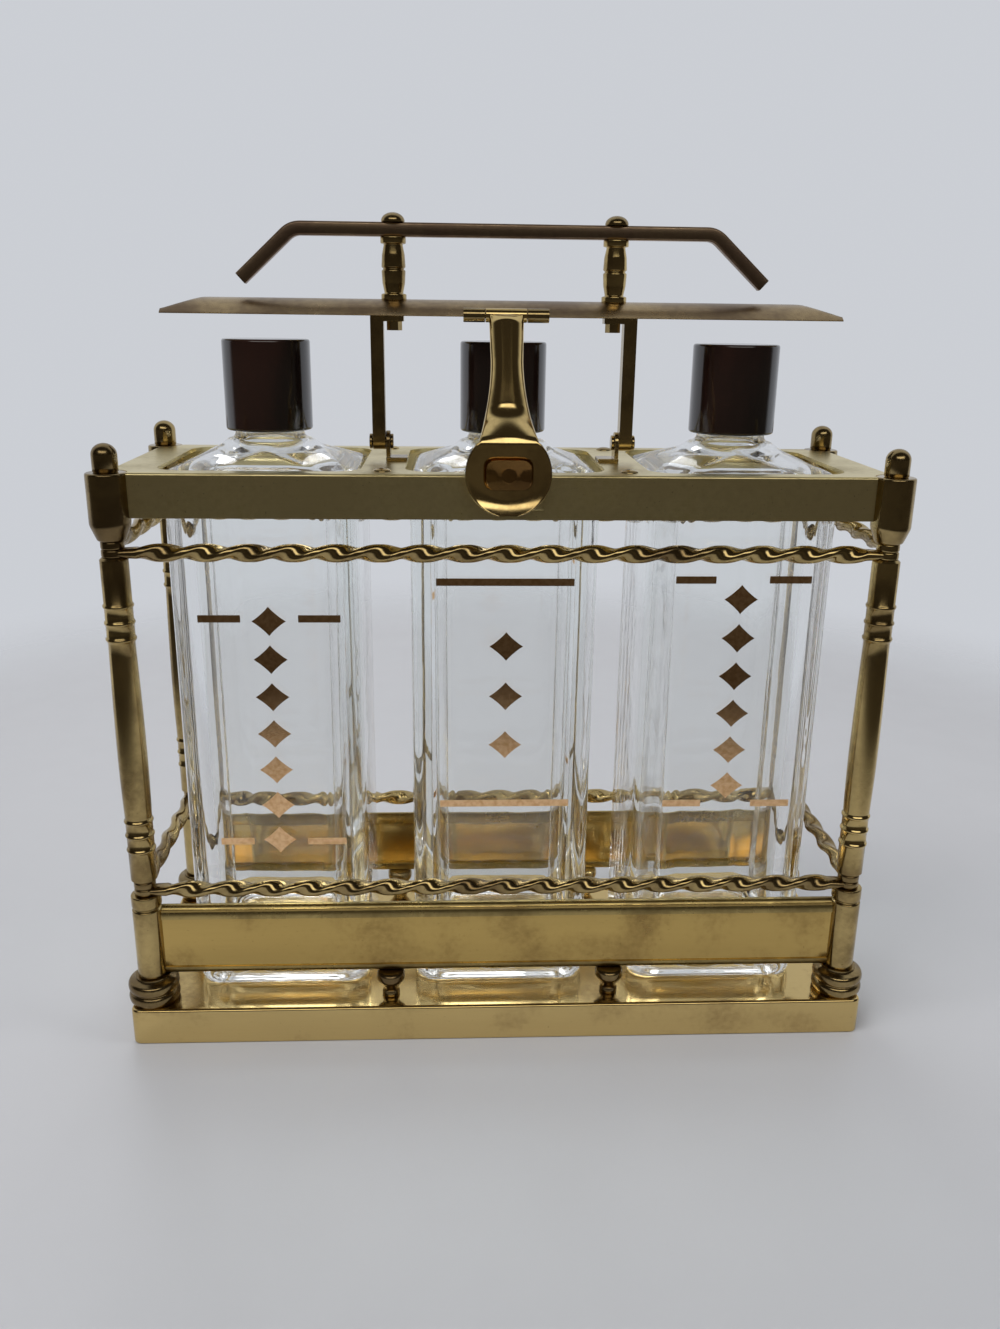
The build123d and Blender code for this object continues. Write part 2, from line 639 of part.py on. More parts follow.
def lid_bar():
    """Crowned bar over a thin lip, its ends sloping down to points in side view."""
    half = BAR_WIDTH / 2
    crown_bottom = BAR_BOTTOM + BAR_LIP_HEIGHT
    section = make_face(Wire(
        Polyline(
            (0, half, crown_bottom), (0, half, BAR_BOTTOM),
            (0, -half, BAR_BOTTOM), (0, -half, crown_bottom),
        ).edges()
        + ThreePointArc(
            (0, -half, crown_bottom), (0, 0, BAR_TOP), (0, half, crown_bottom)
        ).edges()
    ))
    bar = extrude(section, amount=BAR_LENGTH / 2, dir=(1, 0, 0), both=True)
    end = BAR_LENGTH / 2
    outline = make_face(Polyline(
        (-end, 0, BAR_BOTTOM), (end, 0, BAR_BOTTOM), (end, 0, crown_bottom),
        (end - BAR_POINT_LENGTH, 0, BAR_TOP), (-end + BAR_POINT_LENGTH, 0, BAR_TOP),
        (-end, 0, crown_bottom), close=True,
    ))
    side_view = extrude(outline, amount=BAR_WIDTH, dir=(0, 1, 0), both=True)
    bar = Pos(0, LID_Y, 0) * (bar & side_view)
    for sign in SIDES.values():
        bar -= disc(POST_SCREW_RADIUS, BAR_BOTTOM - 1, BAR_HEIGHT + 2, sign * POST_X, LID_Y)
        bar -= disc(POST_FLANGE_RADIUS, POST_BOTTOM, 1, sign * POST_X, LID_Y)
    return bar


def arm(sign):
    """Square arm, pivoted at its foot, its top turned in under the bar."""
    low = ARM_X - ARM_WIDTH / 2
    high = ARM_X + ARM_WIDTH / 2
    front = LID_Y - ARM_DEPTH / 2
    back = LID_Y + ARM_DEPTH / 2
    body = block((low, front, PIVOT_Z), (high, back, BAR_BOTTOM))
    body += cross_rod(ARM_DEPTH / 2, low, high, LID_Y, PIVOT_Z)
    inner = POST_X - POST_SCREW_RADIUS - ARM_FOOT_RIM
    body += block((inner, front, BAR_BOTTOM - ARM_FOOT_THICKNESS), (high, back, BAR_BOTTOM))
    body -= disc(POST_SCREW_RADIUS, BAR_BOTTOM - 5, 10, POST_X, LID_Y)
    body -= cross_rod(HINGE_RIVET_RADIUS + RUNNING_GAP, low - 1, high + 1, LID_Y, PIVOT_Z)
    return body if sign > 0 else mirror(body, Plane.YZ)


def handle_post():
    """Turned post: flange, barrel with a centre groove, flange."""
    middle = POST_HEIGHT / 2
    return Pos(0, LID_Y, POST_BOTTOM) * turned(half_profile([
        (POST_SCREW_RADIUS, 0),
        (POST_FLANGE_RADIUS, 0),
        (POST_FLANGE_RADIUS, POST_FLANGE_HEIGHT),
        (POST_BARREL_RADIUS, POST_FLANGE_HEIGHT),
        (POST_BARREL_RADIUS, middle - POST_GROOVE_DEPTH),
        (POST_BARREL_RADIUS - POST_GROOVE_DEPTH, middle),
        (POST_BARREL_RADIUS, middle + POST_GROOVE_DEPTH),
        (POST_BARREL_RADIUS, POST_HEIGHT - POST_FLANGE_HEIGHT),
        (POST_FLANGE_RADIUS, POST_HEIGHT - POST_FLANGE_HEIGHT),
        (POST_FLANGE_RADIUS, POST_HEIGHT),
        (POST_SCREW_RADIUS, POST_HEIGHT),
    ]))


def handle():
    """Square rod with both ends bent down, bored for the post screws."""
    mid_z = HANDLE_BOTTOM + HANDLE_BAR / 2
    half_flat = HANDLE_FLAT_LENGTH / 2
    half_length = HANDLE_LENGTH / 2
    path = FilletPolyline(
        (-half_length, LID_Y, mid_z - HANDLE_DROP), (-half_flat, LID_Y, mid_z),
        (half_flat, LID_Y, mid_z), (half_length, LID_Y, mid_z - HANDLE_DROP),
        radius=HANDLE_BEND_RADIUS,
    )
    start = Plane(origin=path @ 0, z_dir=path % 0, x_dir=(0, 1, 0))
    rod = sweep(start * Rectangle(HANDLE_BAR, HANDLE_BAR), path=path)
    for sign in SIDES.values():
        rod -= disc(POST_SCREW_RADIUS, HANDLE_BOTTOM - 1, HANDLE_BAR + 2, sign * POST_X, LID_Y)
    return rod


def post_screw():
    """Domed screw down through handle, post, bar and arm."""
    top = HANDLE_BOTTOM + HANDLE_BAR
    bottom = BAR_BOTTOM - ARM_FOOT_THICKNESS - POST_NUT_HEIGHT
    head = dome(POST_SCREW_HEAD_RADIUS, POST_SCREW_HEAD_HEIGHT, top)
    return head + disc(POST_SCREW_RADIUS, bottom, top - bottom)


def post_nut():
    """Small hexagon nut under the arm's foot."""
    bottom = BAR_BOTTOM - ARM_FOOT_THICKNESS - POST_NUT_HEIGHT
    blank = Pos(0, 0, bottom) * extrude(RegularPolygon(POST_NUT_RADIUS, 6), POST_NUT_HEIGHT)
    return blank - disc(POST_SCREW_RADIUS, bottom - 1, POST_NUT_HEIGHT + 2)


# ---------------------------------------------------------------- hasp and knob

def bar_knuckle(x_from, x_to):
    """Fixed knuckle of the hasp's hinge, joined to the bar's front edge."""
    body = cross_rod(KNUCKLE_RADIUS, x_from, x_to, HASP_HINGE_Y, HASP_HINGE_Z)
    body += block(
        (x_from, HASP_HINGE_Y, BAR_BOTTOM),
        (x_to, LID_Y - BAR_WIDTH / 2, BAR_BOTTOM + BAR_LIP_HEIGHT),
    )
    return body - cross_rod(HASP_PIN_RADIUS, x_from - 1, x_to + 1, HASP_HINGE_Y, HASP_HINGE_Z)


def hasp_outline():
    """Front view of the hasp: neck, flare and disc, as a prism along Y."""
    top = HASP_HINGE_Z + KNUCKLE_RADIUS + 1
    flare_z = KNOB_Z + HASP_FLARE_RISE
    waist_z = KNOB_Z + HASP_WAIST_RISE
    neck = HASP_NECK_WIDTH / 2
    flare = HASP_FLARE_WIDTH / 2
    right = Polyline(
        (HASP_KNUCKLE_LENGTH / 2, 0, top), (HASP_KNUCKLE_LENGTH / 2, 0, HASP_HINGE_Z - 1),
        (neck, 0, waist_z),
    )
    curve = Spline(
        (neck, 0, waist_z), (flare, 0, flare_z),
        tangents=((0, 0, -1), (0.62, 0, -0.78)),
    )
    bottom = Polyline((flare, 0, flare_z), (0, 0, KNOB_Z), (0, 0, top), (HASP_KNUCKLE_LENGTH / 2, 0, top))
    half = make_face(Wire(right.edges() + curve.edges() + bottom.edges()))
    half_prism = extrude(half, amount=BASE_DEPTH, dir=(0, 1, 0), both=True)
    round_part = Pos(0, 0, KNOB_Z) * Rot(90, 0, 0) * Cylinder(HASP_DISC_RADIUS, 2 * BASE_DEPTH)
    return half_prism + mirror(half_prism, Plane.YZ) + round_part


def hasp_ribbon():
    """Side view of the sheet: down from the knuckle, forward, then upright with a curled lip."""
    mid = DISC_BACK_Y - HASP_SHEET / 2
    lip_z = KNOB_Z - HASP_DISC_RADIUS + HASP_LIP_RISE
    path = FilletPolyline(
        (0, HASP_HINGE_Y - KNUCKLE_RADIUS + HASP_SHEET / 2, HASP_HINGE_Z),
        (0, HASP_HINGE_Y - KNUCKLE_RADIUS + HASP_SHEET / 2, HASP_HINGE_Z - HASP_STRAIGHT_DROP),
        (0, mid, KNOB_Z + HASP_FOOT_RISE),
        (0, mid, lip_z),
        (0, mid - HASP_LIP_CURL, lip_z - HASP_LIP_DROP),
        radius=HASP_BEND_RADIUS,
    )
    sheet_width = 3 * HASP_DISC_RADIUS
    start = Plane(origin=path @ 0, z_dir=path % 0, x_dir=(1, 0, 0))
    return sweep(start * Rectangle(sheet_width, HASP_SHEET), path=path)


def hasp():
    """Spoon-shaped hasp with its own knuckle, bored for the knob's shaft."""
    body = hasp_ribbon() & hasp_outline()
    half = HASP_KNUCKLE_LENGTH / 2 - SIDE_GAP
    body += cross_rod(KNUCKLE_RADIUS, -half, half, HASP_HINGE_Y, HASP_HINGE_Z)
    bore = HASP_PIN_RADIUS + RUNNING_GAP
    body -= cross_rod(bore, -half - 1, half + 1, HASP_HINGE_Y, HASP_HINGE_Z)
    reach = 2 * KNUCKLE_RADIUS
    for sign in SIDES.values():
        near, far = sorted((sign * half, sign * (half + KNUCKLE_LENGTH)))
        body -= block(
            (near, HASP_HINGE_Y - reach, HASP_HINGE_Z - reach),
            (far, HASP_HINGE_Y + reach, HASP_HINGE_Z + reach),
        )
    body -= along_y(KNOB_SHAFT_RADIUS + RUNNING_GAP, DISC_FRONT_Y - 2, DISC_BACK_Y + 2)
    return body


def along_y(radius, y_from, y_to):
    """Round rod along Y on the knob's axis."""
    centre = (y_from + y_to) / 2
    return Pos(0, centre, KNOB_Z) * Rot(90, 0, 0) * Cylinder(radius, abs(y_to - y_from))


def knob():
    """Oblong turn-knob with softened edges."""
    back = DISC_FRONT_Y - KNOB_GAP
    plane = Plane(origin=(0, back, KNOB_Z), x_dir=(1, 0, 0), z_dir=(0, -1, 0))
    body = extrude(plane * RectangleRounded(KNOB_WIDTH, KNOB_HEIGHT, KNOB_CORNER_RADIUS), KNOB_THICKNESS)
    body = chamfer(body.faces().sort_by(Axis.Y)[0].edges(), KNOB_EDGE)
    return body - along_y(KNOB_SHAFT_RADIUS, back - KNOB_THICKNESS - 1, back + 1)


def knob_spindle():
    """Shaft through the disc, riveted over the knob, with the locking cam hanging at its back."""
    front = DISC_FRONT_Y - KNOB_GAP - KNOB_THICKNESS
    cam_front = DISC_BACK_Y + CAM_STAND_OFF
    cam_back = cam_front + CAM_THICKNESS
    body = along_y(KNOB_SHAFT_RADIUS, front, cam_back)
    cam = block(
        (-CAM_WIDTH / 2, cam_front, KNOB_Z - CAM_LENGTH), (CAM_WIDTH / 2, cam_back, KNOB_Z)
    )
    cam += along_y(CAM_WIDTH / 2, cam_front, cam_back)
    return body + cam


# ---------------------------------------------------------------- write every sub-part

os.makedirs("parts", exist_ok=True)

write("base_tray", base_tray())
write("base_pad", base_pad())
write("column_feet", *[Pos(x, y, 0) * foot() for x, y in CORNERS.values()])
write("rod_nuts", *[Pos(x, y, 0) * rod_nut() for x, y in CORNERS.values()])
for corner, (x, y) in CORNERS.items():
    write(f"lower_tube_{corner}", Pos(x, y, 0) * lower_tube())
    write(f"spindle_{corner}", Pos(x, y, 0) * spindle())
    write(f"collar_{corner}", Pos(x, y, 0) * collar())
    write(f"finial_rod_{corner}", Pos(x, y, 0) * finial_rod())
rails()
write("band_front", Pos(0, -COLUMN_Y, 0) * band())
write("band_back", Pos(0, COLUMN_Y, 0) * Rot(0, 0, 180) * band())
write("top_frame", top_frame())
write("plate_rivets", *[Pos(x, y, 0) * plate_rivet() for x, y in rivet_places()])
for side, y in (("front", -COLUMN_Y), ("back", COLUMN_Y)):
    write(f"band_spools_{side}", *[
        Pos(x, y, 0) * band_spool() for x in (-BOTTLE_PITCH / 2, BOTTLE_PITCH / 2)
    ])
for side, sign in SIDES.items():
    write(f"hinge_lug_{side}", hinge_lug(sign))
    write(f"lid_arm_{side}", arm(sign))
    write(f"handle_post_{side}", Pos(sign * POST_X, 0, 0) * handle_post())
write("hinge_rivets", *[hinge_rivet(sign) for sign in SIDES.values()])
write("strike", strike())
for place, x in BOTTLES.items():
    write(f"bottle_{place}", Pos(x, 0, 0) * bottle())
    write(f"cap_{place}", Pos(x, 0, 0) * cap())
    write(f"cap_liner_{place}", Pos(x, 0, 0) * cap_liner())
write("lid_bar", lid_bar())
write("handle", handle())
write("post_screws", *[Pos(sign * POST_X, LID_Y, 0) * post_screw() for sign in SIDES.values()])
write("post_nuts", *[Pos(sign * POST_X, LID_Y, 0) * post_nut() for sign in SIDES.values()])
knuckle_start = HASP_KNUCKLE_LENGTH / 2
write(
    "bar_knuckles",
    bar_knuckle(-knuckle_start - KNUCKLE_LENGTH, -knuckle_start),
    bar_knuckle(knuckle_start, knuckle_start + KNUCKLE_LENGTH),
)
write("hasp_pin", cross_rod(
    HASP_PIN_RADIUS, -knuckle_start - KNUCKLE_LENGTH, knuckle_start + KNUCKLE_LENGTH,
    HASP_HINGE_Y, HASP_HINGE_Z,
))
write("hasp", hasp())
write("knob", knob())
write("knob_spindle", knob_spindle())
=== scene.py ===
import bmesh
import bpy
import math
import numpy as np
from mathutils import Matrix, Vector


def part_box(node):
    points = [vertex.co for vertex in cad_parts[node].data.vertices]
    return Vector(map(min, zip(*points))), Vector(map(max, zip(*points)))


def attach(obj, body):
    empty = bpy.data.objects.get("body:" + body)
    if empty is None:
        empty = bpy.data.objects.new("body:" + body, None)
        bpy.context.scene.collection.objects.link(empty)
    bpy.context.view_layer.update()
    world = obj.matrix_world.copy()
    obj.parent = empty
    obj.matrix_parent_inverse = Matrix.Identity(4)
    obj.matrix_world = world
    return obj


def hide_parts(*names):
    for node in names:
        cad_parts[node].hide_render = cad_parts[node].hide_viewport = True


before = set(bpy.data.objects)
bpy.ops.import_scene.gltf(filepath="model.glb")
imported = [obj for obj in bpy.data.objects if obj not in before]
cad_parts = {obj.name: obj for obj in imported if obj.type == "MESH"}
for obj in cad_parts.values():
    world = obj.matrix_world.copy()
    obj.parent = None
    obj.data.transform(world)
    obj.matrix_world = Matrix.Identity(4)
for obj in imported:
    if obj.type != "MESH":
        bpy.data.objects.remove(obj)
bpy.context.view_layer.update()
MM = 0.001


# ---- Camera ----
# The stand is seen a little from above and from just left of its middle, from about 35 cm in
# front of the bottles. The focal length is in pixels of a view 1000 pixels wide.
VIEW_PIXELS = 1000
FOCAL_PIXELS = 1100
NEAR_CLIP = 0.01
CAMERA_PLACE = (-0.01644, -0.35297, 0.22885)
YAW, PITCH, ROLL = math.radians(2.70), math.radians(17.63), math.radians(-0.733)

forward = Vector((
    math.sin(YAW) * math.cos(PITCH), math.cos(YAW) * math.cos(PITCH), -math.sin(PITCH),
))
level = Vector((math.cos(YAW), -math.sin(YAW), 0))
upright = level.cross(forward)
right = math.cos(ROLL) * level - math.sin(ROLL) * upright
up = math.sin(ROLL) * level + math.cos(ROLL) * upright
camera_data = bpy.data.cameras.new("camera")
camera_data.sensor_fit = "HORIZONTAL"
camera_data.lens = FOCAL_PIXELS / VIEW_PIXELS * camera_data.sensor_width
camera_data.clip_start = NEAR_CLIP
camera = bpy.data.objects.new("camera", camera_data)
bpy.context.scene.collection.objects.link(camera)
facing = Matrix((right, up, -forward)).transposed().to_4x4()
camera.matrix_world = Matrix.Translation(CAMERA_PLACE) @ facing
bpy.context.scene.camera = camera
bpy.context.scene.view_settings.view_transform = "Standard"


# ---- Table and room ----
# A plain pale table that fades out at its rim, in a plain pale room. The half of the room in front
# of the stand is dark to reflections, with a dim strip at table height and a soft light high up, so
# that rounded brass shows dark and light streaks. Through glass the room is plain.
TABLE_HALF = 1.2
TABLE_MIDDLE = 0.12
TABLE_FADE = (0.30, 0.52)
TABLE_PALE = (0.60, 0.605, 0.63, 1)
ROOM_PALE = (0.60, 0.62, 0.66, 1)
ROOM_DARK = (0.035, 0.030, 0.025, 1)
ROOM_LOW = (0.062, 0.054, 0.044, 1)
ROOM_LAMP = (1.9, 1.85, 1.75, 1)
ROOM_LIGHT = 0.62
DARK_SIDE = (0.0, 0.22)
STRIP_LEVELS = ((-0.45, -0.15), (-0.02, 0.12))
LAMP_LEVELS = ((0.38, 0.50), (0.64, 0.74))
LAMP_SIDES = ((-0.6, -0.4), (0.4, 0.6))
ALL_BOUNCES, GLASS_BOUNCES, GLOSSY_BOUNCES = 32, 24, 24


class Flow:
    """One output of a node: arithmetic on it adds Math nodes, node() adds any other node."""

    def __init__(self, tree, socket=None):
        self.tree, self.socket = tree, socket

    def node(self, kind, settings=None, sockets=None, out=0):
        """Add a node: settings first, then the values or links of its sockets; gives one output."""
        made = self.tree.nodes.new(kind)
        for key, value in (settings or {}).items():
            setattr(made, key, value)
        for key, value in (sockets or {}).items():
            if isinstance(value, Flow):
                self.tree.links.new(value.socket, made.inputs[key])
            else:
                made.inputs[key].default_value = value
        return Flow(self.tree, made.outputs[out] if len(made.outputs) else None)

    def maths(self, operation, first, second):
        """One step of arithmetic on two values."""
        return self.node("ShaderNodeMath", {"operation": operation}, {0: first, 1: second})

    def __add__(self, other):
        return self.maths("ADD", self, other)

    def __sub__(self, other):
        return self.maths("SUBTRACT", self, other)

    def __rsub__(self, other):
        return self.maths("SUBTRACT", other, self)

    def __mul__(self, other):
        return self.maths("MULTIPLY", self, other)

    __radd__ = __add__
    __rmul__ = __mul__

    def larger(self, other):
        """The larger of two values."""
        return self.maths("MAXIMUM", self, other)

    def step(self, low, high):
        """0 below low, 1 above high, smooth between."""
        limits = {"Value": self, "From Min": low, "From Max": high}
        return self.node("ShaderNodeMapRange", {"interpolation_type": "SMOOTHSTEP"}, limits)

    def band(self, rise, fall):
        """1 between two (low, high) steps: it climbs over the first and drops over the second."""
        return self.step(*rise) * (1 - self.step(*fall))

    def blend(self, first, second):
        """Colour first where this is 0, second where it is 1."""
        colours = {"Factor": self, 6: first, 7: second}
        return self.node("ShaderNodeMix", {"data_type": "RGBA"}, colours, out=2)

    def parts(self):
        """The three numbers of a vector."""
        split = self.node("ShaderNodeSeparateXYZ", None, {0: self}).socket.node
        return [Flow(self.tree, output) for output in split.outputs]

    def noise(self, scale, detail=3.0, stretch=(1, 1, 1)):
        """Soft noise, drawn out along an axis whose stretch is small; scale is per metre."""
        place = self.node("ShaderNodeMapping", None, {"Vector": self, "Scale": stretch})
        sockets = {"Vector": place, "Scale": scale, "Detail": detail}
        return self.node("ShaderNodeTexNoise", None, sockets)


def new_material(name, shade):
    """A material whose surface is what shade makes from the object's own coordinates."""
    material = bpy.data.materials.new(name)
    material.use_nodes = True
    tree = material.node_tree
    tree.nodes.clear()
    place = Flow(tree).node("ShaderNodeTexCoord", out=3)
    place.node("ShaderNodeOutputMaterial", None, {"Surface": shade(place)})
    return material


def principled(place, sockets):
    """The usual surface shader, from a dictionary of its sockets."""
    return place.node("ShaderNodeBsdfPrincipled", None, sockets)


def table_surface(place):
    """Pale, faintly uneven and half glossy; clear beyond the fading rim."""
    x, y, _ = place.parts()
    reach = place.maths("POWER", x * x + (y - TABLE_MIDDLE) * (y - TABLE_MIDDLE), 0.5)
    top = principled(place, {
        "Base Color": TABLE_PALE,
        "Roughness": place.noise(35).step(0.3, 0.7) * 0.12 + 0.34,
    })
    clear = place.node("ShaderNodeBsdfTransparent")
    return place.node("ShaderNodeMixShader", None, {0: reach.step(*TABLE_FADE), 1: top, 2: clear})


h = TABLE_HALF
table_mesh = bpy.data.meshes.new("table")
table_mesh.from_pydata([(-h, -h, 0), (h, -h, 0), (h, h, 0), (-h, h, 0)], [], [(0, 1, 2, 3)])
table = bpy.data.objects.new("table", table_mesh)
bpy.context.scene.collection.objects.link(table)
table_mesh.materials.append(new_material("table", table_surface))

world = bpy.data.worlds.new("room")
bpy.context.scene.world = world
world.use_nodes = True
world.node_tree.nodes.clear()
direction = Flow(world.node_tree).node("ShaderNodeTexCoord", out=0)
aside, toward_back, height = direction.parts()
dark_side = 1 - toward_back.step(*DARK_SIDE)
high_light = height.band(*LAMP_LEVELS) * aside.band(*LAMP_SIDES) * dark_side
low_strip = height.band(*STRIP_LEVELS)
front = high_light.blend(low_strip.blend(ROOM_DARK, ROOM_LOW), ROOM_LAMP)
rays = direction.node("ShaderNodeLightPath").socket.node.outputs
ray = {
    name: Flow(world.node_tree, rays[name])
    for name in ("Is Camera Ray", "Is Transmission Ray", "Is Glossy Ray")
}
plain = ray["Is Camera Ray"].larger(ray["Is Transmission Ray"])
room = plain.blend(dark_side.blend(ROOM_PALE, front), ROOM_PALE)
brightness = plain.larger(ray["Is Glossy Ray"]) * (1 - ROOM_LIGHT) + ROOM_LIGHT
background = direction.node("ShaderNodeBackground", None, {"Color": room, "Strength": brightness})
direction.node("ShaderNodeOutputWorld", None, {"Surface": background})
cycles = bpy.context.scene.cycles
cycles.max_bounces = ALL_BOUNCES
cycles.transmission_bounces, cycles.glossy_bounces = GLASS_BOUNCES, GLOSSY_BOUNCES


# ---- Lamps ----
# Three broad soft lamps: one overhead and to the left, one to the right, one behind. Metal and
# glass don't mirror them.
LAMPS = {
    "ceiling_lamp": ((-0.30, -0.25, 0.95), 0.45, 4.6),
    "right_lamp": ((0.75, -0.15, 0.65), 0.35, 1.8),
    "back_lamp": ((-0.15, 0.65, 0.75), 0.5, 2.4),
}
STAND_MIDDLE = Vector((0, 0, 0.12))

for name, (place, size, power) in LAMPS.items():
    lamp = bpy.data.lights.new(name, "AREA")
    lamp.energy, lamp.size = power, size
    holder = bpy.data.objects.new(name, lamp)
    bpy.context.scene.collection.objects.link(holder)
    holder.visible_glossy = False
    aim = (STAND_MIDDLE - Vector(place)).to_track_quat("-Z", "Y")
    holder.matrix_world = Matrix.Translation(place) @ aim.to_matrix().to_4x4()


# ---- Base tray and its board ----
# A tray pressed from brass sheet with a polished top. A board covered in green baize closes it
# underneath, and nuts inside the tray hold the columns' tie rods.
TRAY_WALL = 1.2 * MM
TRAY_CORNER = 3.0 * MM
TRAY_EDGE = 1.1 * MM
TRAY_RIM = 3.0 * MM
ARC_STEPS = 8
MERGE, SLIVER = 2e-6, 1e-7


def ring(half_x, half_y, corner, steps=ARC_STEPS):
    """Outline of a rounded rectangle: at each corner's centre, a quarter circle of its radius."""
    turn = np.linspace(0, math.pi / 2, steps + 1)
    side = np.repeat([[1, 1], [-1, 1], [-1, -1], [1, -1]], steps + 1, axis=0)
    angle = np.concatenate([turn + quarter * math.pi / 2 for quarter in range(4)])
    x = side[:, 0] * (half_x - corner) + corner * np.cos(angle)
    y = side[:, 1] * (half_y - corner) + corner * np.sin(angle)
    return np.stack([x, y], -1)


def soften(points, ease, steps=4, closed=False):
    """Round a path's corners: each is a parabola that starts and ends ease away from it."""
    points = np.asarray(points, float)
    back = np.roll(points, 1, 0) - points
    ahead = np.roll(points, -1, 0) - points
    back_length = np.maximum(np.linalg.norm(back, axis=1), 1e-9)
    ahead_length = np.maximum(np.linalg.norm(ahead, axis=1), 1e-9)
    reach = np.minimum(ease, 0.45 * np.minimum(back_length, ahead_length))
    start = (points + back * (reach / back_length)[:, None])[:, None]
    end = (points + ahead * (reach / ahead_length)[:, None])[:, None]
    t = np.linspace(0, 1, steps + 1)[None, :, None]
    curve = start * (1 - t) ** 2 + points[:, None] * 2 * t * (1 - t) + end * t ** 2
    if closed:
        return curve.reshape(-1, points.shape[1])
    return np.concatenate([points[:1], curve[1:-1].reshape(-1, points.shape[1]), points[-1:]])


def skin(name, grids, around=True, sharp=40):
    """A mesh over grids of points (rings, points of a ring, xyz).

    Each ring closes on itself. Rings are joined in order, and the last to the first where
    around is true; otherwise the two end rings are closed with flat faces.
    """
    verts, faces, base = [], [], 0
    for grid in grids:
        rings, points = grid.shape[:2]
        strips = rings if around else rings - 1
        u, v = np.meshgrid(np.arange(strips), np.arange(points), indexing="ij")
        next_u, next_v = (u + 1) % rings, (v + 1) % points
        quads = np.stack([
            u * points + v, next_u * points + v, next_u * points + next_v, u * points + next_v,
        ], -1)
        faces += (quads.reshape(-1, 4) + base).tolist()
        if not around:
            faces.append((np.arange(points) + base).tolist())
            faces.append((np.arange(points)[::-1] + base + (rings - 1) * points).tolist())
        verts.append(grid.reshape(-1, 3))
        base += rings * points
    mesh = bpy.data.meshes.new(name)
    mesh.from_pydata(np.concatenate(verts).tolist(), [], faces)
    return shaded(name, mesh, sharp)


def shaded(name, mesh, sharp):
    """Merge doubles, point the faces outwards, and shade smooth."""
    work = bmesh.new()
    work.from_mesh(mesh)
    bmesh.ops.remove_doubles(work, verts=work.verts, dist=MERGE)
    bmesh.ops.dissolve_degenerate(work, edges=work.edges, dist=SLIVER)
    bmesh.ops.recalc_face_normals(work, faces=work.faces)
    work.to_mesh(mesh)
    work.free()
    return smooth_piece(name, mesh, sharp)


def smooth_piece(name, mesh, sharp):
    """An object whose faces are shaded smooth, apart from edges sharper than an angle."""
    mesh.polygons.foreach_set("use_smooth", np.ones(len(mesh.polygons), bool))
    mesh.set_sharp_from_angle(angle=math.radians(sharp))
    piece = bpy.data.objects.new(name, mesh)
    bpy.context.scene.collection.objects.link(piece)
    return piece


def ring_at(half_x, half_y, corner, at, steps=ARC_STEPS):
    """The same outline as points (x, y, level)."""
    outline = ring(half_x, half_y, corner, steps)
    return np.c_[outline, np.full(len(outline), at)]


def stacked(profile, half_x, half_y, corner):
    """Rounded rectangles carried along (inset, level) points: each ring shrinks by its inset."""
    return np.array([
        ring_at(half_x - inset, half_y - inset, max(corner - inset, 0.1 * MM), at)
        for inset, at in profile
    ])


def fit(piece, body, slot, material, *nodes):
    """Finish a piece: its material, the body it rides on, the nodes it replaces; slot is not used.
    """
    piece.data.materials.clear()
    piece.data.materials.append(material)
    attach(piece, body)
    if nodes:
        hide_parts(*nodes)
    return piece


def brass(name, bright, dull, roughness, tarnish, rubbed=(1, 1, 1), relief=0.3):
    """Brass under a broken brown film: cloudy and freckled, with rubbing marks along an axis."""
    def shade(place):
        cloud = place.noise(38, 5)
        freckle = place.noise(520, 4)
        film = (cloud * 0.8 + freckle * 0.2).step(0.58 - 0.34 * tarnish, 0.74 - 0.10 * tarnish)
        rubbing = place.noise(2200, 2, rubbed)
        tone = (film * 0.85 + rubbing * 0.15).blend(bright, dull)
        spots = place.noise(1100, 2).step(0.70, 0.76)
        return principled(place, {
            "Base Color": (spots * 0.5).blend(tone, tuple(0.4 * c for c in dull[:3]) + (1,)),
            "Metallic": 1.0,
            "Roughness": film * 0.12 + rubbing * 0.06 + roughness,
            "Normal": place.node("ShaderNodeBump", None, {
                "Strength": relief, "Distance": 0.00003, "Height": rubbing + freckle * 0.6,
            }),
        })
    return new_material(name, shade)


ALONG_X = (0.03, 1, 1)
polished_brass = brass(
    "polished_brass", (0.70, 0.52, 0.22, 1), (0.42, 0.29, 0.12, 1), 0.10, 0.25, ALONG_X, 0.12
)
low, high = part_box("base_tray")
tray_profile = soften([
    (TRAY_WALL, high.z - TRAY_WALL), (TRAY_WALL, 0), (0, 0), (0, high.z), (TRAY_RIM, high.z),
], TRAY_EDGE)
tray = skin("base_tray_pressed", [stacked(tray_profile, high.x, high.y, TRAY_CORNER)], around=False)
fit(tray, "stand", "polished_brass", polished_brass, "base_tray")

baize = new_material("baize", lambda place: principled(place, {
    "Base Color": place.noise(1800, 2).step(0.3, 0.7).blend(
        (0.02, 0.06, 0.035, 1), (0.05, 0.13, 0.08, 1)),
    "Roughness": 0.95,
    "Normal": place.node("ShaderNodeBump", None, {
        "Strength": 0.6, "Distance": 0.0002, "Height": place.noise(2600, 2),
    }),
}))
steel = new_material("dull_steel", lambda place: principled(place, {
    "Base Color": place.noise(300).step(0.3, 0.7).blend(
        (0.42, 0.42, 0.42, 1), (0.55, 0.54, 0.52, 1)),
    "Metallic": 1.0,
    "Roughness": place.noise(900).step(0.2, 0.8) * 0.15 + 0.32,
}))


def keep(node, material):
    """Give a CAD node its finish without touching its shape."""
    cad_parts[node].data.materials.clear()
    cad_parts[node].data.materials.append(material)


keep("base_pad", baize)
keep("rod_nuts", steel)


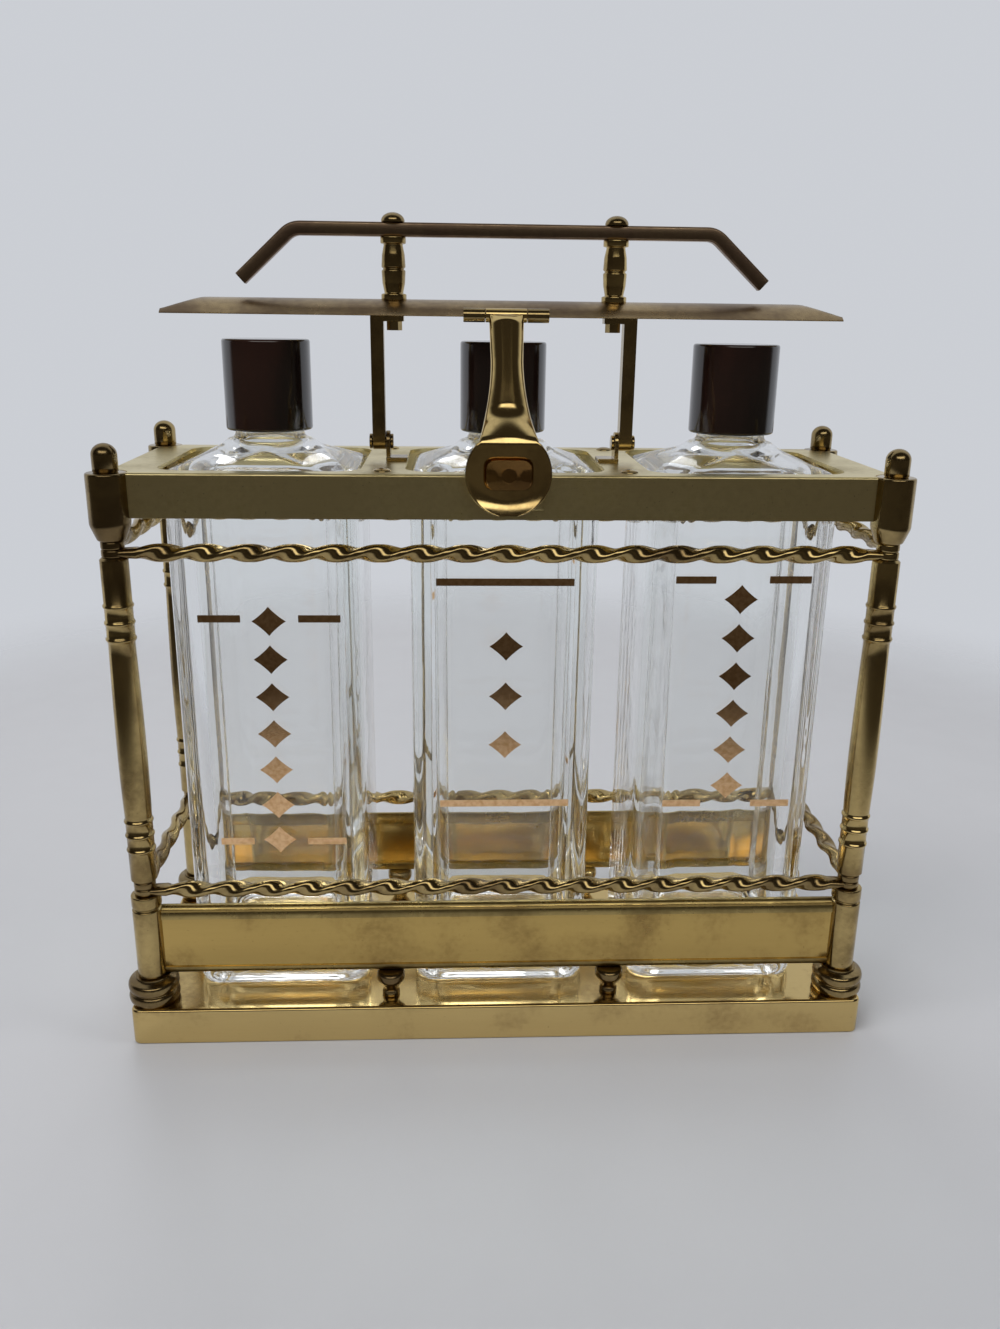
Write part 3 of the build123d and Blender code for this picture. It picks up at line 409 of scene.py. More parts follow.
# ---- Columns ----
# Turned brass pieces threaded on a tie rod at each corner: a foot of two rings, a lower tube, a
# swelling spindle with beads near both ends, a collar, and a domed finial on top of the rod.
CORNER_NAMES = ("front_left", "front_right", "back_left", "back_right")
BORE = 2.05 * MM
FOOT_RADIUS, FOOT_RING, FOOT_NECK = 8.1 * MM, 4.0 * MM, 5.6 * MM
FOOT_BULGE, FOOT_RING_HALF = 1.0 * MM, 1.9 * MM
TUBE_RADIUS, TUBE_GROOVE = 4.7 * MM, 4.6 * MM
SPINDLE_END, SPINDLE_SWELL, SPINDLE_TOP = 4.1 * MM, 4.4 * MM, 3.9 * MM
BEADS_UP = (11.2 * MM, 16.2 * MM, 21.0 * MM)
BEADS_DOWN = (24.6 * MM, 19.6 * MM, 14.5 * MM)
BEAD_HALF, BEAD_PROUD = 0.8 * MM, 0.4 * MM
COLLAR_RADIUS, COLLAR_NECK, COLLAR_TAPER = 5.85 * MM, 4.0 * MM, 4.7 * MM
FINIAL_RADIUS = 3.6 * MM
ROUND_STEPS = 40

dark_brass = brass("dark_brass", (0.48, 0.36, 0.16, 1), (0.17, 0.115, 0.055, 1), 0.11, 0.8)
aged_brass = brass("aged_brass", (0.60, 0.45, 0.19, 1), (0.22, 0.15, 0.065, 1), 0.08, 0.6)


def turned(profile, x, y, steps=ROUND_STEPS):
    """Turn (radius, level) points about an upright axis: x + r cos a, y + r sin a, level."""
    profile = np.asarray(profile)
    angle = np.arange(steps) * 2 * math.pi / steps
    radius, at = profile[:, :1], profile[:, 1:]
    return np.stack([
        x + radius * np.cos(angle), y + radius * np.sin(angle), at + 0 * angle,
    ], -1)


def middle(node):
    """The x and y of a node's centre line."""
    low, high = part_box(node)
    return (low.x + high.x) / 2, (low.y + high.y) / 2


def bead(radius, at):
    """A raised ring: half a wave, BEAD_PROUD high and 2 BEAD_HALF wide."""
    share = np.linspace(-1, 1, 9)
    return [(radius + BEAD_PROUD * math.cos(s * math.pi / 2), at + s * BEAD_HALF) for s in share]


low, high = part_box("column_feet")
foot_core, foot_top = FOOT_RADIUS - FOOT_BULGE, low.z + 2 * FOOT_RING
foot_half = [(BORE, low.z), (foot_core, low.z)]
foot_half += [
    (foot_core + FOOT_BULGE * math.sin(a),
     low.z + FOOT_RING * (k + 0.5) - FOOT_RING_HALF * math.cos(a))
    for k in (0, 1) for a in np.linspace(0.15, math.pi - 0.15, 11)
]
foot_half += [
    (FOOT_NECK + 0.6 * MM, foot_top), (FOOT_NECK, foot_top + 0.4 * MM),
    (FOOT_NECK, high.z), (BORE, high.z),
]
feet = [turned(foot_half, *middle(f"finial_rod_{corner}")) for corner in CORNER_NAMES]
fit(skin("column_feet_turned", feet), "stand", "aged_brass", dark_brass, "column_feet")

for corner in CORNER_NAMES:
    x, y = middle(f"finial_rod_{corner}")

    low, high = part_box(f"lower_tube_{corner}")
    groove = high.z - TUBE_GROOVE
    tube_half = soften([
        (BORE, low.z), (TUBE_RADIUS, low.z), (TUBE_RADIUS, groove - 0.6 * MM),
        (TUBE_RADIUS - 0.6 * MM, groove - 0.2 * MM), (TUBE_RADIUS - 0.6 * MM, groove + 0.2 * MM),
        (TUBE_RADIUS, groove + 0.6 * MM), (TUBE_RADIUS, high.z), (BORE, high.z),
    ], 0.5 * MM, closed=True)
    tube = skin(f"lower_tube_{corner}_turned", [turned(tube_half, x, y)])
    fit(tube, "stand", "polished_brass", aged_brass, f"lower_tube_{corner}")

    low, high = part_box(f"spindle_{corner}")
    shaft_low, shaft_high = low.z + BEADS_UP[-1] + 1.2 * MM, high.z - BEADS_DOWN[0] - 1.2 * MM
    share = np.linspace(0, 1, 15)
    swell = np.where(
        share < 1 / 3,
        SPINDLE_END + (SPINDLE_SWELL - SPINDLE_END) * np.sin(share * 1.5 * math.pi),
        SPINDLE_TOP + (SPINDLE_SWELL - SPINDLE_TOP) * np.cos((share - 1 / 3) * 0.75 * math.pi),
    )
    spindle_half = [(BORE, low.z), (SPINDLE_END - 0.7 * MM, low.z), (SPINDLE_END, low.z + 0.7 * MM)]
    for rise in BEADS_UP:
        spindle_half += bead(SPINDLE_END, low.z + rise)
    spindle_half += list(zip(swell, shaft_low + share * (shaft_high - shaft_low)))
    for drop in BEADS_DOWN:
        spindle_half += bead(SPINDLE_END, high.z - drop)
    spindle_half += [
        (SPINDLE_END, high.z - 0.7 * MM), (SPINDLE_END - 0.7 * MM, high.z), (BORE, high.z),
    ]
    spindle = skin(f"spindle_{corner}_turned", [turned(spindle_half, x, y)])
    fit(spindle, "stand", "aged_brass", aged_brass, f"spindle_{corner}")

    low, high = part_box(f"collar_{corner}")
    collar_half = soften([
        (BORE, low.z), (COLLAR_NECK, low.z), (COLLAR_RADIUS, low.z + COLLAR_TAPER),
        (COLLAR_RADIUS, high.z), (BORE, high.z),
    ], 0.7 * MM, closed=True)
    collar = skin(f"collar_{corner}_turned", [turned(collar_half, x, y)])
    fit(collar, "stand", "aged_brass", dark_brass, f"collar_{corner}")

    low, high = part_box(f"finial_rod_{corner}")
    collar_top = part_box(f"collar_{corner}")[1].z
    finial_half = [(0, low.z), (BORE - 0.05 * MM, low.z), (BORE - 0.05 * MM, collar_top)]
    finial_half += [(FINIAL_RADIUS - 0.3 * MM, collar_top), (FINIAL_RADIUS, collar_top + 0.4 * MM)]
    finial_half += [
        (FINIAL_RADIUS * math.cos(a), high.z - FINIAL_RADIUS * 0.9 * (1 - math.sin(a)))
        for a in np.linspace(0, math.pi / 2, 10)
    ]
    finial = skin(f"finial_rod_{corner}_turned", [turned(finial_half, x, y)], around=False)
    fit(finial, "stand", "aged_brass", dark_brass, f"finial_rod_{corner}")


# ---- Twisted rails ----
# A brass rod of oval section twisted about its own axis between each pair of columns, at two
# levels. Its ends are hammered flat into eyes that are threaded on the tie rods.
RAIL_HALF_WIDTH, RAIL_HALF_DEPTH = 2.7 * MM, 1.7 * MM
RAIL_SQUARENESS = 2.6
TWIST_PITCH = 25.6 * MM
EYE_RADIUS = 3.4 * MM
TONGUE = 3.4 * MM
TONGUE_THICKNESS = 2.4 * MM
RAIL_STEP = 0.45 * MM
RAIL_POINTS = 28
RAIL_ENDS = {
    "front": ("front_left", "front_right"),
    "back": ("back_left", "back_right"),
    "left": ("front_left", "back_left"),
    "right": ("front_right", "back_right"),
}

rail_brass = brass("rail_brass", (0.52, 0.39, 0.17, 1), (0.18, 0.12, 0.055, 1), 0.08, 0.6)


def twisted(span):
    """One rail along u from eye to eye.

    Its section is an oval, |a / half width|^n + |b / half depth|^n = 1, turned by an angle that
    grows evenly between the tongues, where it lies flat and is thinned to the eyes' thickness.
    """
    along = np.linspace(EYE_RADIUS * 0.6, span - EYE_RADIUS * 0.6, round(span / RAIL_STEP))
    twist_start = EYE_RADIUS + TONGUE
    twist_length = span - 2 * twist_start
    half_turns = round(2 * twist_length / TWIST_PITCH)
    turn = -np.clip((along - twist_start) / twist_length, 0, 1)[:, None] * half_turns * math.pi
    near_end = np.clip(1 - np.minimum(along, span - along) / twist_start, 0, 1)[:, None]
    thinned = 1 - near_end * (1 - TONGUE_THICKNESS / (2 * RAIL_HALF_DEPTH))
    around = np.arange(RAIL_POINTS) * 2 * math.pi / RAIL_POINTS
    power = 2 / RAIL_SQUARENESS
    a = RAIL_HALF_WIDTH * np.sign(np.cos(around)) * np.abs(np.cos(around)) ** power
    b = RAIL_HALF_DEPTH * np.sign(np.sin(around)) * np.abs(np.sin(around)) ** power * thinned
    return np.stack(np.broadcast_arrays(
        along[:, None], a * np.cos(turn) - b * np.sin(turn), a * np.sin(turn) + b * np.cos(turn),
    ), -1)


def eye(x, y, thickness):
    """A washer with rounded edges about an upright axis at (x, y), level with the rail."""
    half = thickness / 2
    return turned(soften([
        (BORE, -half), (EYE_RADIUS, -half), (EYE_RADIUS, half), (BORE, half),
    ], 0.6 * MM, closed=True), x, y)


for place in ("lower", "upper"):
    for side, columns in RAIL_ENDS.items():
        node = f"{place}_rail_{side}"
        low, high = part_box(node)
        start, end = (Vector(middle(f"finial_rod_{corner}")) for corner in columns)
        grid = twisted((end - start).length)
        if side in ("left", "right"):
            grid = grid[..., [1, 0, 2]] * (-1, 1, 1)
        at = Vector((start.x, start.y, (low.z + high.z) / 2))
        rod = skin(node + "_twisted", [grid + np.array(at)], around=False)
        eyes = [eye(*point, TONGUE_THICKNESS) + (0, 0, at.z) for point in (start, end)]
        fit(skin(node + "_eyes", eyes), "stand", "polished_brass", rail_brass)
        fit(rod, "stand", "polished_brass", rail_brass, node)


# ---- Bands and their spools ----
# A sheet band runs between the lower tubes, in front and behind, its top and bottom edges rolled
# into lips. Two small turned spools standing on the tray carry each band at mid span.
BAND_SHEET = 1.0 * MM
BAND_INSET = 1.0 * MM
SHEET_EDGE = 0.2 * MM
TOP_LIP = (2.2 * MM, 4.4 * MM)
BOTTOM_LIP = (1.5 * MM, 2.6 * MM)
LIP_PROUD = 0.4 * MM
LIP_BACK = 0.8 * MM
SPOOL_RADIUS, SPOOL_FOOT = 4.6 * MM, 2.9 * MM

band_brass = brass(
    "band_brass", (0.60, 0.42, 0.14, 1), (0.36, 0.235, 0.08, 1), 0.13, 0.35, ALONG_X, 0.2
)
lip_brass = brass(
    "lip_brass", (0.50, 0.38, 0.15, 1), (0.24, 0.175, 0.07, 1), 0.2, 0.7, ALONG_X, 0.3
)


def lip(reach, height, edge, inward):
    """Section of a lip as (depth, level): a quarter oval from its outer edge to its front.

    With t from 0 to a right angle, the depth behind the front is reach (1 - sin t) and the level
    is edge + inward height (1 - cos t). The section then runs straight back and up behind.
    """
    t = np.linspace(0, math.pi / 2, 12)
    front = -BAND_SHEET - LIP_PROUD
    oval = np.stack([front + reach * (1 - np.sin(t)), edge + inward * height * (1 - np.cos(t))], -1)
    back = front + reach + LIP_BACK
    outline = np.concatenate([oval, [(back, oval[-1, 1]), (back, edge)]])
    return soften(outline, SHEET_EDGE, 2, closed=True)


def between_tubes(section, facing, column_x, column_y):
    """Carry a (depth, level) section along x, each point as far as the tubes it butts against."""
    depth, at = section[:, 0], section[:, 1]
    reach = column_x - np.sqrt(np.maximum(TUBE_RADIUS ** 2 - depth ** 2, 0))
    stations = np.linspace(-1, 1, 25)[:, None]
    return np.stack(np.broadcast_arrays(
        facing * stations * reach, column_y + facing * depth, at + 0 * stations,
    ), -1)


for side, facing in (("front", 1), ("back", -1)):
    low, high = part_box(f"band_{side}")
    column = middle(f"finial_rod_{side}_right")
    sheet = soften([
        (-BAND_SHEET, low.z + BAND_INSET), (-BAND_SHEET, high.z - BAND_INSET),
        (0, high.z - BAND_INSET), (0, low.z + BAND_INSET),
    ], SHEET_EDGE, 2, closed=True)
    band = skin(f"band_{side}_sheet", [between_tubes(sheet, facing, *column)], around=False)
    fit(band, "stand", "polished_brass", band_brass, f"band_{side}")
    lips = [lip(*TOP_LIP, high.z, -1), lip(*BOTTOM_LIP, low.z, 1)]
    lips = [between_tubes(section, facing, *column) for section in lips]
    lips = skin(f"band_{side}_lips", lips, around=False)
    fit(lips, "stand", "polished_brass", lip_brass)

    low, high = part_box(f"band_spools_{side}")
    spool_half = soften([
        (0, low.z), (SPOOL_FOOT, low.z), (SPOOL_FOOT, low.z + 1.2 * MM),
        (SPOOL_FOOT - 0.5 * MM, low.z + 2.6 * MM), (SPOOL_FOOT + 0.4 * MM, low.z + 4.2 * MM),
        (SPOOL_RADIUS, high.z - 3.2 * MM), (SPOOL_RADIUS, high.z - 0.9 * MM),
        (SPOOL_RADIUS - 0.9 * MM, high.z), (0, high.z),
    ], 0.8 * MM)
    spool_x, spool_y = high.x - SPOOL_RADIUS, (low.y + high.y) / 2
    spools = skin(
        f"band_spools_{side}_turned",
        [turned(spool_half, x, spool_y) for x in (-spool_x, spool_x)], around=False,
    )
    fit(spools, "stand", "aged_brass", dark_brass, f"band_spools_{side}")


# ---- Top frame, its rivets, hinge lugs and strike ----
# A brass plate with a folded flange and three square openings that the bottles stand up through.
# Lugs for the locking bar's arms and a hooked strike for the latch are riveted to it.
RIVET_RADIUS = 2.6 * MM
FOLDED_EDGE = 0.35 * MM
SMALL_EDGE = 0.25 * MM
FLAT_ANGLE, EDGE_ANGLE = 2, 50

frame_brass = brass(
    "frame_brass", (0.86, 0.73, 0.38, 1), (0.54, 0.44, 0.20, 1), 0.28, 0.5, ALONG_X, 0.4
)


def finished(node, body, slot, material, edge):
    """A copy of a CAD node with its triangles merged into faces and its edges rounded."""
    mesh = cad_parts[node].data.copy()
    mesh.name = node + "_finished"
    work = bmesh.new()
    work.from_mesh(mesh)
    bmesh.ops.remove_doubles(work, verts=work.verts, dist=MERGE)
    bmesh.ops.dissolve_limit(
        work, angle_limit=math.radians(FLAT_ANGLE), verts=work.verts, edges=work.edges,
    )
    work.to_mesh(mesh)
    work.free()
    piece = smooth_piece(mesh.name, mesh, EDGE_ANGLE)
    rounding = piece.modifiers.new("rounding", "BEVEL")
    rounding.width, rounding.segments = edge, 3
    rounding.limit_method, rounding.angle_limit = "ANGLE", math.radians(EDGE_ANGLE)
    rounding.harden_normals = True
    return fit(piece, body, slot, material, node)


finished("top_frame", "stand", "polished_brass", frame_brass, FOLDED_EDGE)
finished("strike", "stand", "polished_brass", frame_brass, SMALL_EDGE)
finished("hinge_lug_left", "stand", "aged_brass", dark_brass, SMALL_EDGE)
finished("hinge_lug_right", "stand", "aged_brass", dark_brass, SMALL_EDGE)
finished("hinge_rivets", "stand", "aged_brass", dark_brass, SMALL_EDGE)

low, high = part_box("plate_rivets")
plate_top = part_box("top_frame")[1].z
head = high.z - plate_top
rivet_half = [(0, low.z), (RIVET_RADIUS * 0.5, low.z), (RIVET_RADIUS * 0.5, plate_top)]
rivet_half += [
    (RIVET_RADIUS * math.cos(a), plate_top + head * math.sin(a))
    for a in np.linspace(0, math.pi / 2, 9)
]
rivet_x, rivet_y = high.x - RIVET_RADIUS, high.y - RIVET_RADIUS
rivets = [turned(rivet_half, x, y) for x in (-rivet_x, rivet_x) for y in (-rivet_y, rivet_y)]
rivets = skin("plate_rivets_domed", rivets, around=False)
fit(rivets, "stand", "polished_brass", aged_brass, "plate_rivets")


# ---- Bottles ----
# Square bottles blown in a mould, in clear glass, with thick corners and floors, low sloping
# shoulders and plain necks. Gilt bars and lozenges, given in mm, are fired on their fronts.
BOTTLE_CORNER = 7.0 * MM
BOTTLE_WALL = 3.6 * MM
BOTTLE_FLOOR = 7.0 * MM
INNER_CORNER = 11.0 * MM
SHOULDER_HEIGHT = 8.0 * MM
NECK_RADIUS, NECK_BORE = 10.6 * MM, 7.6 * MM
NECK_HEIGHT = 25.0 * MM
RAISED_HALF = 13.4 * MM
GLASS_ARC = 12
GILT_LEVELS = (-0.02 * MM, 0.08 * MM)
MARK_HALF_HEIGHT, MARK_CORNER = 1.15 * MM, 0.2 * MM
LOZENGE_HALF = (5.2 * MM, 4.6 * MM)
LOZENGE_POWER, LOZENGE_POINTS = 0.9, 32
GILT = {
    "left": {
        "bars": ((-86.4, 140.3, 6.4), (-56.2, 140.3, 6.4), (-85.0, 66.0, 5.3), (-56.4, 65.8, 6.2)),
        "lozenges": (-71.5, 139.5, 66.5, 7),
    },
    "middle": {
        "bars": ((0.2, 151.8, 21.0), (0.8, 78.8, 20.7)),
        "lozenges": (0.7, 131.5, 99.0, 3),
    },
    "right": {
        "bars": ((58.4, 152.6, 6.2), (87.6, 152.7, 6.5), (58.4, 78.3, 6.2), (87.3, 78.2, 6.3)),
        "lozenges": (72.7, 146.5, 84.5, 6),
    },
}


def glass_surface(place):
    """Clear glass, very slightly green and uneven; lamps shine through it."""
    ripple = place.noise(45, 2)
    body = principled(place, {
        "Base Color": (0.972, 0.982, 0.978, 1),
        "Roughness": 0.0,
        "IOR": 1.5,
        "Transmission Weight": 1.0,
        "Normal": place.node("ShaderNodeBump", None, {
            "Strength": 0.25, "Distance": 0.0006, "Height": ripple,
        }),
    })
    clear = place.node("ShaderNodeBsdfTransparent", None, {"Color": (0.86, 0.89, 0.88, 1)})
    lamp_ray = place.node("ShaderNodeLightPath", out=1)
    return place.node("ShaderNodeMixShader", None, {0: lamp_ray, 1: body, 2: clear})


glass = new_material("clear_glass", glass_surface)
gilt = new_material("gilt", lambda place: principled(place, {
    "Base Color": place.noise(700, 4).step(0.35, 0.7).blend(
        (0.95, 0.62, 0.34, 1), (0.74, 0.44, 0.20, 1)),
    "Metallic": 1.0,
    "Roughness": place.noise(1500, 3).step(0.3, 0.75) * 0.06 + 0.04,
    "Normal": place.node("ShaderNodeBump", None, {
        "Strength": 0.25, "Distance": 0.00003, "Height": place.noise(2500, 3),
    }),
}))


def bottle_rings(sections, x):
    """Rings of a bottle about x: each section is (half width, corner radius, level)."""
    return np.array([
        ring_at(half, half, min(corner, half), at, GLASS_ARC) for half, corner, at in sections
    ]) + (x, 0, 0)


def facing_front(grid, x, y, z):
    """Lay a shape that was built upwards against an upright face: (a, b, c) to (a, -c, b)."""
    return np.stack([grid[..., 0] + x, y - grid[..., 2], grid[..., 1] + z], -1)


def lozenge():
    """A lozenge with hollow sides: r = 1 / (|cos a|^n + |sin a|^n)^(1/n), times its half sizes."""
    angle = np.arange(LOZENGE_POINTS) * 2 * math.pi / LOZENGE_POINTS
    power = LOZENGE_POWER
    reach = 1 / (np.abs(np.cos(angle)) ** power + np.abs(np.sin(angle)) ** power) ** (1 / power)
    outline = np.stack([reach * np.cos(angle), reach * np.sin(angle)], -1) * LOZENGE_HALF
    return np.array([np.c_[outline, np.full(LOZENGE_POINTS, at)] for at in GILT_LEVELS])


for name, marks in GILT.items():
    body = f"bottle_{name}"
    low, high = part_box(body)
    x, half = (low.x + high.x) / 2, high.y
    shoulder = high.z - NECK_HEIGHT - SHOULDER_HEIGHT
    inner = half - BOTTLE_WALL
    floor = low.z + BOTTLE_FLOOR
    outside = soften([
        (0.5 * MM, 0.5 * MM, low.z + 1.6 * MM), (half - 7 * MM, 6 * MM, low.z + 1.4 * MM),
        (half - 4.5 * MM, 6 * MM, low.z), (half - 0.6 * MM, BOTTLE_CORNER, low.z),
        (half, BOTTLE_CORNER, low.z + 3 * MM), (half, BOTTLE_CORNER, shoulder),
        (half - 6 * MM, 9 * MM, shoulder + 2.4 * MM),
        (RAISED_HALF + 2.5 * MM, RAISED_HALF, shoulder + SHOULDER_HEIGHT - 2.6 * MM),
        (RAISED_HALF, RAISED_HALF, shoulder + SHOULDER_HEIGHT - 0.3 * MM),
        (NECK_RADIUS, NECK_RADIUS, shoulder + SHOULDER_HEIGHT + 0.5 * MM),
        (NECK_RADIUS, NECK_RADIUS, high.z), (NECK_BORE, NECK_BORE, high.z),
        (NECK_BORE, NECK_BORE, shoulder + 6.5 * MM),
        (NECK_BORE + 4 * MM, NECK_BORE + 4 * MM, shoulder + 3.2 * MM),
        (inner - 4 * MM, INNER_CORNER, shoulder - 0.8 * MM),
        (inner, INNER_CORNER, shoulder - 5 * MM),
        (inner, INNER_CORNER, floor + 3 * MM), (inner - 3 * MM, INNER_CORNER - 2 * MM, floor),
        (0.5 * MM, 0.5 * MM, floor + 0.8 * MM),
    ], 2.2 * MM, steps=5)
    glass_piece = skin(f"bottle_{name}_blown", [bottle_rings(outside, x)], around=False, sharp=80)
    fit(glass_piece, body, "glass", glass, body)

    layers = [(0, at) for at in GILT_LEVELS]
    shapes = []
    for mark_x, mark_z, half_length in marks["bars"]:
        flat_bar = stacked(layers, half_length * MM, MARK_HALF_HEIGHT, MARK_CORNER)
        shapes.append(facing_front(flat_bar, mark_x * MM, -half, mark_z * MM))
    column, top, bottom, count = marks["lozenges"]
    for mark_z in np.linspace(top, bottom, count):
        shapes.append(facing_front(lozenge(), column * MM, -half, mark_z * MM))
    fit(skin(f"gilt_{name}", shapes, around=False), body, "polished_brass", gilt)


# ---- Caps and liners ----
# Screw caps moulded in dark gloss plastic, plain outside, over a soft pale liner that seals on the
# neck's rim.
CAP_EDGE = 0.9 * MM
CAP_BORE = 10.95 * MM
LINER_GAP = 0.05 * MM
CAP_STEPS = 72

cap_plastic = new_material("cap_plastic", lambda place: principled(place, {
    "Base Color": place.noise(60, 4, (1, 1, 0.25)).step(0.35, 0.75).blend(
        (0.010, 0.007, 0.006, 1), (0.034, 0.014, 0.010, 1)),
    "Roughness": place.noise(500, 3).step(0.3, 0.8) * 0.07 + 0.1,
    "Specular IOR Level": 0.6,
    "Coat Weight": 0.4,
    "Coat Roughness": 0.06,
}))
liner = new_material("liner", lambda place: principled(place, {
    "Base Color": place.noise(400).step(0.3, 0.7).blend(
        (0.52, 0.49, 0.42, 1), (0.62, 0.59, 0.52, 1)),
    "Roughness": 0.7,
}))

for name in GILT:
    low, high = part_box(f"cap_{name}")
    radius = high.y
    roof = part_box(f"cap_liner_{name}")[1].z + LINER_GAP
    cap_half = [(0, roof), (CAP_BORE, roof), (CAP_BORE, low.z)]
    cap_half += soften([
        (CAP_BORE, low.z), (radius, low.z), (radius, high.z), (0, high.z),
    ], CAP_EDGE)[1:].tolist()
    shell = turned(cap_half, (low.x + high.x) / 2, 0, CAP_STEPS)
    cap = skin(f"cap_{name}_moulded", [shell], around=False)
    fit(cap, f"cap_{name}", "cap_plastic", cap_plastic, f"cap_{name}")
    keep(f"cap_liner_{name}", liner)


# ---- Locking bar and arms ----
# A long crowned brass bar over a thin lip, sloping down to its ends. Square arms riveted to the
# frame's lugs carry it, and it is held on them by the handle's screws and nuts.
BAR_LIP = 1.3 * MM
BAR_LIP_PROUD = 1.5 * MM
BAR_LIP_EDGE = 0.3 * MM
BAR_POINT = 10.5 * MM
ARM_EDGE = 1.1 * MM
PIN_EDGE = 0.15 * MM

bar_brass = brass(
    "bar_brass", (0.50, 0.37, 0.19, 1), (0.20, 0.135, 0.08, 1), 0.2, 0.85, ALONG_X, 0.35
)

low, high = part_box("lid_bar")
bar_y, bar_half = (low.y + high.y) / 2, (high.y - low.y) / 2
lip_top = low.z + BAR_LIP
crown = high.z - lip_top
across = np.linspace(-1, 1, 25)
ends = np.concatenate([
    np.linspace(0, 2 * BAR_POINT, 22)[:-1], np.linspace(2 * BAR_POINT, high.x, 12),
])
stations = np.concatenate([ends - high.x, (high.x - ends)[::-1][1:]])
slope = np.minimum(high.x - np.abs(stations), 3 * BAR_POINT) / BAR_POINT


def lower_of(a, b, soft=0.06):
    """The lower of two values, rounded off over soft where they cross."""
    return (a + b - np.sqrt((a - b) ** 2 + soft ** 2)) / 2


rise = np.maximum(lower_of(1 - across ** 2, slope[:, None]), 0)
top_side = np.stack(np.broadcast_arrays(
    stations[:, None], bar_y + across * (bar_half - BAR_LIP_PROUD),
    lip_top + crown * rise / rise.max(),
), -1)
lip_edge = soften([
    (bar_half - BAR_LIP_PROUD, lip_top), (bar_half, low.z + BAR_LIP_EDGE), (bar_half, low.z),
    (-bar_half, low.z), (-bar_half, low.z + BAR_LIP_EDGE), (BAR_LIP_PROUD - bar_half, lip_top),
], 0.3 * MM)[1:-1]
under = np.stack(np.broadcast_arrays(
    stations[:, None], bar_y + lip_edge[:, 0], lip_edge[:, 1] + 0 * stations[:, None],
), -1)
bar = skin("lid_bar_crowned", [np.concatenate([top_side, under], 1)], around=False, sharp=38)
fit(bar, "lid", "aged_brass", bar_brass, "lid_bar")

finished("lid_arm_left", "lid", "aged_brass", dark_brass, ARM_EDGE)
finished("lid_arm_right", "lid", "aged_brass", dark_brass, ARM_EDGE)
finished("post_nuts", "lid", "aged_brass", dark_brass, SMALL_EDGE)
finished("bar_knuckles", "lid", "aged_brass", dark_brass, SMALL_EDGE)
finished("hasp_pin", "lid", "aged_brass", dark_brass, PIN_EDGE)


# ---- Handle and posts ----
# A square brass rod with both ends bent down, carried above the bar by two turned posts. A domed
# screw holds each post through handle, bar and arm.
HANDLE_SIDE = 4.0 * MM
HANDLE_FLAT_HALF = 63.0 * MM
HANDLE_BEND = 2.6 * MM
HANDLE_CORNER = 0.7 * MM
END_TRIM = 0.02
POST_FLANGE, POST_BARREL, POST_WAIST = 3.8 * MM, 3.6 * MM, 2.8 * MM
POST_BORE = 1.5 * MM
SCREW_RADIUS = 3.5 * MM

handle_brass = brass(
    "handle_brass", (0.40, 0.29, 0.18, 1), (0.19, 0.125, 0.085, 1), 0.24, 0.85, ALONG_X, 0.4
)

low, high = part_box("handle")
handle_y = (low.y + high.y) / 2
top_mid = high.z - HANDLE_SIDE / 2
lean = math.atan2(high.z - low.z - HANDLE_SIDE / 2, high.x - HANDLE_FLAT_HALF)
end_x = high.x - HANDLE_SIDE / 2 * math.sin(lean)
end_z = low.z + HANDLE_SIDE / 2 * math.cos(lean)
path = soften([
    (-end_x, end_z), (-HANDLE_FLAT_HALF, top_mid), (HANDLE_FLAT_HALF, top_mid), (end_x, end_z),
], HANDLE_BEND, steps=10)
path[[0, -1]] = path[[0, -1]] * (1 - END_TRIM) + path[[1, -2]] * END_TRIM
tangent = np.gradient(path, axis=0)
tangent /= np.linalg.norm(tangent, axis=1)[:, None]
section = ring(HANDLE_SIDE / 2, HANDLE_SIDE / 2, HANDLE_CORNER, 3)
rod = np.stack([
    path[:, :1] - tangent[:, 1:] * section[:, 1],
    handle_y + section[:, 0] + 0 * path[:, :1],
    path[:, 1:] + tangent[:, :1] * section[:, 1],
], -1)
fit(skin("handle_bent", [rod], around=False, sharp=50), "lid", "aged_brass", handle_brass, "handle")

for side in ("left", "right"):
    low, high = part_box(f"handle_post_{side}")
    x, y = (low.x + high.x) / 2, (low.y + high.y) / 2
    mid = (low.z + high.z) / 2
    post_half = soften([
        (POST_BORE, low.z), (POST_FLANGE, low.z), (POST_FLANGE, low.z + 1.9 * MM),
        (POST_WAIST, low.z + 2.1 * MM), (POST_BARREL - 0.2 * MM, low.z + 5 * MM),
        (POST_BARREL, mid - 0.5 * MM), (POST_BARREL - 0.45 * MM, mid - 0.1 * MM),
        (POST_BARREL - 0.45 * MM, mid + 0.1 * MM), (POST_BARREL, mid + 0.5 * MM),
        (POST_BARREL - 0.2 * MM, high.z - 5 * MM), (POST_WAIST, high.z - 2.1 * MM),
        (POST_FLANGE, high.z - 1.9 * MM), (POST_FLANGE, high.z), (POST_BORE, high.z),
    ], 0.35 * MM, closed=True)
    post = skin(f"handle_post_{side}_turned", [turned(post_half, x, y)])
    fit(post, "lid", "aged_brass", aged_brass, f"handle_post_{side}")

